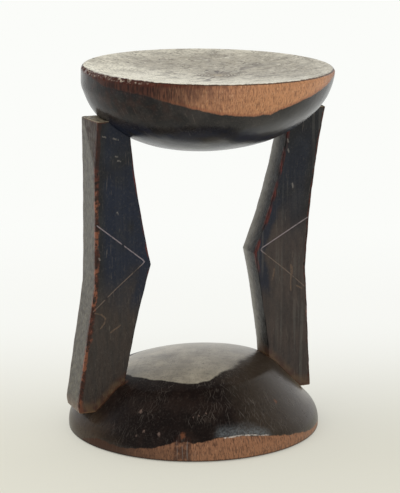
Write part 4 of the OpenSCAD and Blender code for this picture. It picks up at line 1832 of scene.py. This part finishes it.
@dataclass
class Base:
    """The domed base."""

    dome: DomeShape
    lean: Lean
    around: int = 512
    up: int = 190
    seed: float = 8.0
    mark_depth: float = 0.00026
    mark_size: float = 0.019
    # From where on the flank lines are cut, and the height at which a leg's inner edge is read
    flank_from: float = 0.08
    leg_level: float = 0.055
    # Depth and half width of a check and of the chipped line
    check_cut: Point = (0.0006, 0.0009)
    chip_cut: Point = (0.0004, 0.001)
    # The bare band's upper edge: angle in degrees round the base, and height
    band: tuple[Point, ...] = (
        (-178.0, -0.003), (-170.0, 0.004), (-160.0, 0.009), (-146.0, 0.007), (-131.0, 0.010), (-119.0, 0.017),
        (-111.0, 0.0155), (-101.0, 0.019), (-87.0, 0.0187), (-68.0, 0.013), (-46.0, 0.0065), (-30.0, 0.0055),
        (-12.0, -0.003),
    )
    # The chipped line on top of the band, and the two checks below it, in the same measures
    chipped: tuple[Point, ...] = ((-98.0, 0.0186), (-90.0, 0.0192), (-83.0, 0.0182), (-75.0, 0.0157))
    checks: tuple[tuple[Point, ...], ...] = (
        ((-119.3, 0.0175), (-119.0, 0.009), (-119.2, 0.002)),
        ((-114.4, 0.0172), (-114.8, 0.010), (-114.3, 0.002)),
        ((-117.0, 0.0140), (-116.6, 0.003)),
    )
    # Dents and knots on the flank, as (angle, distance from the axis, size), and the size that counts as 1
    spots: tuple[Place, ...] = (
        (-141.5, 0.0906, 0.0016), (-128.1, 0.1034, 0.0016), (-136.0, 0.1027, 0.0012), (-139.0, 0.106, 0.001),
        (-105.0, 0.0890, 0.0008), (-109.0, 0.0905, 0.0008), (-112.0, 0.0915, 0.0007),
    )
    knots: tuple[Place, ...] = ((-116.8, 0.1035, 0.0022), (-59.4, 0.0894, 0.0014))
    spot_size: float = 0.0016
    # The rubbed crown's edge, as (angle in degrees, distance from the axis), and the height that it lies above
    crown_from: float = 0.03
    polished: tuple[Point, ...] = (
        (-178.7, 0.0646), (-158.0, 0.0612), (-137.2, 0.0597), (-112.0, 0.0635), (-99.7, 0.0605),
        (-87.6, 0.0532), (-68.6, 0.0483), (-39.2, 0.0448), (-13.1, 0.0534), (12.0, 0.0704), (90.0, 0.066),
    )

    def section_curve(self) -> Piece:
        """The half section as a curve object, for the node tree.

        Returns:
            The object, linked to the scene.
        """
        rows = self.dome.section()
        curve = bpy.data.curves.new("base_section", "CURVE")
        curve.dimensions = "3D"
        spline = curve.splines.new("POLY")
        spline.points.add(len(rows) - 1)
        for point, (reach, height) in zip(spline.points, rows):
            point.co = (reach, 0.0, height, 1.0)
        return linked(curve.name, curve)

    def gap_to_lines(self, points: Array, lines: Sequence[Sequence[Point]]) -> Array:
        """Distance from the nearest of some lines on the flank, FAR in from the rim.

        Args:
            points: Points of the base.
            lines: Bent lines of (angle in degrees, height).

        Returns:
            One distance per point.
        """
        turn = np.radians(round_angle(points)) * self.dome.radius
        around = np.stack([turn, points[:, 2]], axis=-1)
        flat = [[(math.radians(angle) * self.dome.radius, height) for angle, height in line] for line in lines]
        gap = np.min([line_gap(around, line) for line in flat], axis=0)
        return np.where(np.hypot(points[:, 0], points[:, 1]) > self.flank_from, np.minimum(gap, FAR), FAR)

    def gap_to_legs(self, points: Array, legs: Sequence[Leg]) -> Array:
        """Level distance of each point from the nearest leg's foot.

        Args:
            points: Points of the surface.
            legs: The legs.

        Returns:
            One distance per point.
        """
        gap = np.full(len(points), FAR)
        for leg in legs:
            sign = leg.side.value
            inner = float(leg.inner_at(np.array(self.leg_level)))
            outer = float(leg.outer_at(np.array(leg.foot_height)))
            over_x = np.maximum(np.maximum(sign * (inner - points[:, 0]), sign * (points[:, 0] - outer)), 0.0)
            over_y = np.maximum(np.abs(points[:, 1]) - leg.thick / 2.0, 0.0)
            gap = np.minimum(gap, np.hypot(over_x, over_y))
        return gap

    def gap_to_spots(self, points: Array, spots: Sequence[Place]) -> Array:
        """Level distance of each point from the nearest spot, larger round a smaller one."""
        gap = np.full(len(points), FAR)
        for turn, out, size in spots:
            middle = out * np.array([math.cos(math.radians(turn)), math.sin(math.radians(turn))])
            gap = np.minimum(gap, np.linalg.norm(points[:, :2] - middle, axis=1) * self.spot_size / size)
        return gap

    def add_marks(self, piece: Piece, legs: Sequence[Leg]) -> None:
        """Writes the masks for the finish into the base's mesh, and cuts its checks.

        Args:
            piece: The base.
            legs: The legs that stand on it.
        """
        mesh = piece.data
        flat = np.zeros(len(mesh.vertices) * 3, np.float32)
        mesh.vertices.foreach_get("co", flat)
        points = flat.reshape(-1, 3).astype(float)
        angle, height = round_angle(points), points[:, 2]
        reach = np.maximum(np.hypot(points[:, 0], points[:, 1]), 1e-6)
        top = np.interp(angle, *np.array(self.band).T, left=BURIED, right=BURIED)
        crown = np.interp(angle, *np.array(self.polished).T, period=360.0)
        check = self.gap_to_lines(points, self.checks)
        chipped = self.gap_to_lines(points, (self.chipped,))
        write_marks(mesh, {
            "bare": top - height,
            "check_gap": check,
            "chipped_gap": chipped,
            "foot_gap": self.gap_to_legs(points, legs),
            "polish": np.where(height > self.crown_from, crown - reach, -0.03),
            "spot_gap": self.gap_to_spots(points, self.spots),
            "knot_gap": self.gap_to_spots(points, self.knots),
        })
        sunk = sum(depth * np.clip(1.0 - gap / half, 0.0, 1.0)
                   for gap, (depth, half) in ((check, self.check_cut), (chipped, self.chip_cut)))
        points[:, :2] *= (1.0 - sunk / reach)[:, None]
        mesh.vertices.foreach_set("co", points.astype(np.float32).reshape(-1))
        mesh.update()

    def build(self, turning: GeometryTree, finish: BaseFinish, legs: Sequence[Leg]) -> Piece:
        """Makes the base.

        Args:
            turning: The tree that turns it.
            finish: Its finish.
            legs: The legs that stand on it.

        Returns:
            The finished piece.
        """
        gaps = np.linalg.norm(np.diff(self.dome.section(), axis=0), axis=1)
        section = self.section_curve()
        piece = linked("carved_base", bpy.data.meshes.new("carved_base"))
        turning.apply(piece, {
            "Section": section,
            "Around": self.around,
            "Up": self.up,
            "Floor share": float(gaps[0] / gaps.sum()),
            "Crown middle": tuple(self.dome.crown_middle(self.lean)),
            "Crown radius": self.dome.crown_radius,
            "Crown blend": self.dome.crown_blend,
            "Mark depth": self.mark_depth,
            "Mark size": self.mark_size,
            "Seed": self.seed,
            "Finish": finish.build(self.seed),
        })
        curve = section.data
        bpy.data.objects.remove(section)
        bpy.data.curves.remove(curve)
        self.add_marks(piece, legs)
        return piece


# Stage


@dataclass(frozen=True)
class Studio:
    """A pale floor, soft light and the camera at the photograph's angle."""

    turn: float = -22.0
    pitch: float = 13.4
    camera_height: float = 0.5666
    camera_away: float = 1.7065
    camera_aside: float = 0.0058
    focal_pixels: float = 2005.0
    photo_height: float = 493.0
    sensor: float = 36.0
    floor_pale: str = "#e4e2d5"
    floor_white: str = "#fbfcf9"
    floor_half: float = 6.0
    floor_bounce: float = 0.4
    floor_drop: float = 0.3 * MM
    # Where the floor fades: towards the back, further back, and all round
    fade_back: Point = (-0.12, 0.36)
    fade_far: Point = (0.3, 0.8)
    fade_round: Point = (0.45, 1.3)
    white: str = "#ffffff"
    sky_seen: str = "#fdfdfc"
    sky_mirrored: str = "#fdfdfb"
    ambient: float = 0.86
    room_dark: float = 0.08
    aim_height: float = 0.16

    @property
    def back(self) -> Array:
        """Level unit vector from the camera towards the stool."""
        angle = math.radians(self.turn)
        return np.array([-math.sin(angle), math.cos(angle), 0.0])

    @property
    def aside(self) -> Array:
        """Level unit vector towards the picture's right."""
        return np.array([self.back[1], -self.back[0], 0.0])

    def camera(self) -> None:
        """Places the camera and makes it the scene's."""
        data = bpy.data.cameras.new("camera")
        data.sensor_width = self.sensor
        data.lens = self.focal_pixels / self.photo_height * self.sensor
        data.clip_end = 50.0
        made = linked("camera", data)
        spot = self.camera_aside * self.aside - self.camera_away * self.back + np.array([0.0, 0.0, self.camera_height])
        made.location = spot.tolist()
        made.rotation_euler = (math.radians(90.0 - self.pitch), 0.0, math.radians(self.turn))
        bpy.context.scene.camera = made

    def floor(self) -> None:
        """Lays the floor, which fades to white towards the back and far out."""
        half = self.floor_half
        mesh = bpy.data.meshes.new("floor")
        corners = [(-half, -half, 0.0), (half, -half, 0.0), (half, half, 0.0), (-half, half, 0.0)]
        mesh.from_pydata(corners, [], [(0, 1, 2, 3)])
        made = linked("floor", mesh)
        made.location.z = -self.floor_drop
        mesh.materials.append(self.floor_material())

    def floor_material(self) -> Material:
        """The floor's material: lit paper near the stool, plain white beyond, open from below.

        Returns:
            The material.
        """
        s = Shading("floor_paper")
        for name, value in (("Roughness", 0.9), ("Specular IOR Level", 0.0), ("Base Color", linear(self.floor_pale))):
            s.feed(s.skin.inputs[name], value)
        x, y, _ = s.parts(s.place)
        depth = s.plus(s.times(x, float(self.back[0])), s.times(y, float(self.back[1])))
        far = s.plus(s.times(s.step(depth, *self.fade_back), 0.85), s.times(s.step(depth, *self.fade_far), 0.15))
        fade = s.most(far, s.step(s.length(x, y), *self.fade_round))
        bounce = s.first("ShaderNodeEmission", {"Color": linear(self.floor_pale), "Strength": 1.0})
        glow = s.first("ShaderNodeEmission", {"Color": linear(self.floor_white), "Strength": 1.0})
        lit = s.choose(fade, s.choose(self.floor_bounce, s.skin.outputs[0], bounce), glow)
        below = s.node("ShaderNodeNewGeometry").outputs["Backfacing"]
        s.feed(s.out.inputs["Surface"], s.choose(below, lit, s.first("ShaderNodeBsdfTransparent")))
        return s.material

    def world(self) -> None:
        """Soft light from all round, a white backdrop, and a dimmer room behind the camera."""
        world = bpy.data.worlds.new("studio")
        world.use_nodes = True
        bpy.context.scene.world = world
        s = NodeTree(world.node_tree)
        out = s.node("ShaderNodeOutputWorld")
        rays = s.node("ShaderNodeLightPath").outputs
        way = s.node("ShaderNodeTexCoord").outputs["Generated"]

        def measured(towards: Array, low: float, high: float, dark: float) -> Socket:
            """Brightness that grows from dark to 1 towards a direction."""
            inputs = {0: way, 1: towards.tolist()}
            along = s.node("ShaderNodeVectorMath", inputs, operation="DOT_PRODUCT").outputs["Value"]
            return s.ranged(along, low, high, dark, 1.0, interpolation_type="SMOOTHSTEP")

        def light(colour: str, strength: Value) -> Socket:
            """Light of one colour and strength."""
            return s.first("ShaderNodeBackground", {"Color": linear(colour), "Strength": strength})

        room = s.times(measured(self.back, -0.15, 0.8, self.room_dark),
                       measured(np.array([0.0, 0.0, -1.0]), -0.9, -0.5, 2.0 * self.room_dark))
        mirrored = light(self.sky_mirrored, self.ambient)
        shown = s.choose(rays["Is Glossy Ray"], mirrored, light(self.white, room))
        shown = s.choose(rays["Is Transmission Ray"], shown, light(self.white, 1.0))
        shown = s.choose(rays["Is Camera Ray"], shown, light(self.sky_seen, 1.0))
        s.feed(out.inputs["Surface"], shown)

    def lamp(self, name: str, aside: float, back: float, height: float, size: float, power: float) -> None:
        """Hangs a soft square lamp that looks at the stool.

        Args:
            name: Name of the lamp.
            aside: Distance to the picture's right of the stool.
            back: Distance behind the stool.
            height: Height above the floor.
            size: Side of the lamp.
            power: Its power in watts.
        """
        data = bpy.data.lights.new(name, "AREA")
        data.size = size
        data.energy = power
        made = linked(name, data)
        spot = aside * self.aside + back * self.back + np.array([0.0, 0.0, height])
        made.location = spot.tolist()
        aim = np.array([0.0, 0.0, self.aim_height]) - spot
        level = math.hypot(aim[0], aim[1])
        made.rotation_euler = (math.atan2(level, -aim[2]), 0.0, math.atan2(-aim[0], aim[1]))
        made.visible_glossy = False

    def build(self) -> None:
        """Makes the camera, the floor and the light."""
        self.camera()
        self.floor()
        self.world()
        self.lamp("key", -0.9, -0.5, 1.5, 1.2, 6.0)
        bpy.context.scene.view_settings.view_transform = "Standard"


def hand_over(piece: Piece, node: str) -> None:
    """Puts a finished piece in the place of its solid.

    Args:
        piece: The finished piece.
        node: Name of the solid that it stands for.
    """
    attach(piece, "root")
    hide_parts(node)
    LOG.info("%s stands for %s: %d faces", piece.name, node, len(piece.data.polygons))


def legs_of(place: SeatPlace, dome: DomeShape) -> tuple[Leg, Leg]:
    """The left and the right leg, each with its own curves, wear and nicks.

    Args:
        place: Where the seat stands.
        dome: The base's shape.

    Returns:
        The two legs.
    """
    left = Leg(
        Side.LEFT, 0.033, place, dome, foot_out=0.0015, gap_top_half=0.0765, hollow_in=0.0022, hollow_out=0.0008,
        seed=5.0, bevel_front=0.0036, curl=0.0026,
        worn_spots=((0.205, 0.009), (0.180, 0.010), (0.150, 0.004), (0.1255, 0.011), (0.0735, 0.018), (0.031, 0.007)),
        nicks=(
            ((-0.0885, 0.2663), (-0.086, 0.2655)), ((-0.079, 0.264), (-0.0745, 0.2625)),
            ((-0.0772, 0.2485), (-0.0742, 0.2482)), ((-0.0752, 0.2446), (-0.0728, 0.2440)),
            ((-0.0762, 0.2001), (-0.0755, 0.1980)), ((-0.0928, 0.1615), (-0.0922, 0.1600)),
            ((-0.0971, 0.1134), (-0.0914, 0.1118), (-0.0878, 0.1081), (-0.0890, 0.1035), (-0.0922, 0.0996)),
            ((-0.0832, 0.0950), (-0.0743, 0.1004)),
        ),
    )
    right = Leg(
        Side.RIGHT, 0.027, place, dome, foot_out=-0.0006, gap_top_half=0.0745, hollow_in=0.0044, hollow_out=0.0029,
        seed=14.0, incised_top=0.1803, incised_low=0.1175, ragged=0.0004, worn_spots=((0.094, 0.004),),
        nicks=(
            ((0.0878, 0.1385), (0.0884, 0.130), (0.0876, 0.122), (0.0881, 0.1155)),
            ((0.0890, 0.1370), (0.0894, 0.1300)), ((0.0938, 0.1190), (0.0986, 0.1160)),
            ((0.0718, 0.1360), (0.0702, 0.1262)), ((0.0835, 0.2520), (0.0842, 0.2495)),
            ((0.0838, 0.2430), (0.0848, 0.2405)), ((0.0885, 0.2120), (0.0892, 0.2085)),
        ),
    )
    return left, right


def main() -> None:
    """Builds the stool and its stage."""
    logging.basicConfig(level=logging.INFO, format="%(message)s")
    lean, dome = Lean(), DomeShape()
    place = SeatPlace(lean, BowlShape())
    carving, turning = carving_tree(), dome_tree()
    left, right = legs_of(place, dome)
    right_finish = LegFinish(outer_wear=0.0012, inner_wear=0.0018, streaked=0.36, blue_share=0.55,
                             brown_below=0.215, brown="#493e39")
    Studio().build()
    hand_over(Base(dome, lean).build(turning, BaseFinish(), (left, right)), "base")
    hand_over(left.build(carving, LegFinish()), "left_leg")
    hand_over(right.build(carving, right_finish), "right_leg")
    hand_over(Seat(place).build(carving, SeatFinish()), "seat")


if __name__ == "__main__":
    main()
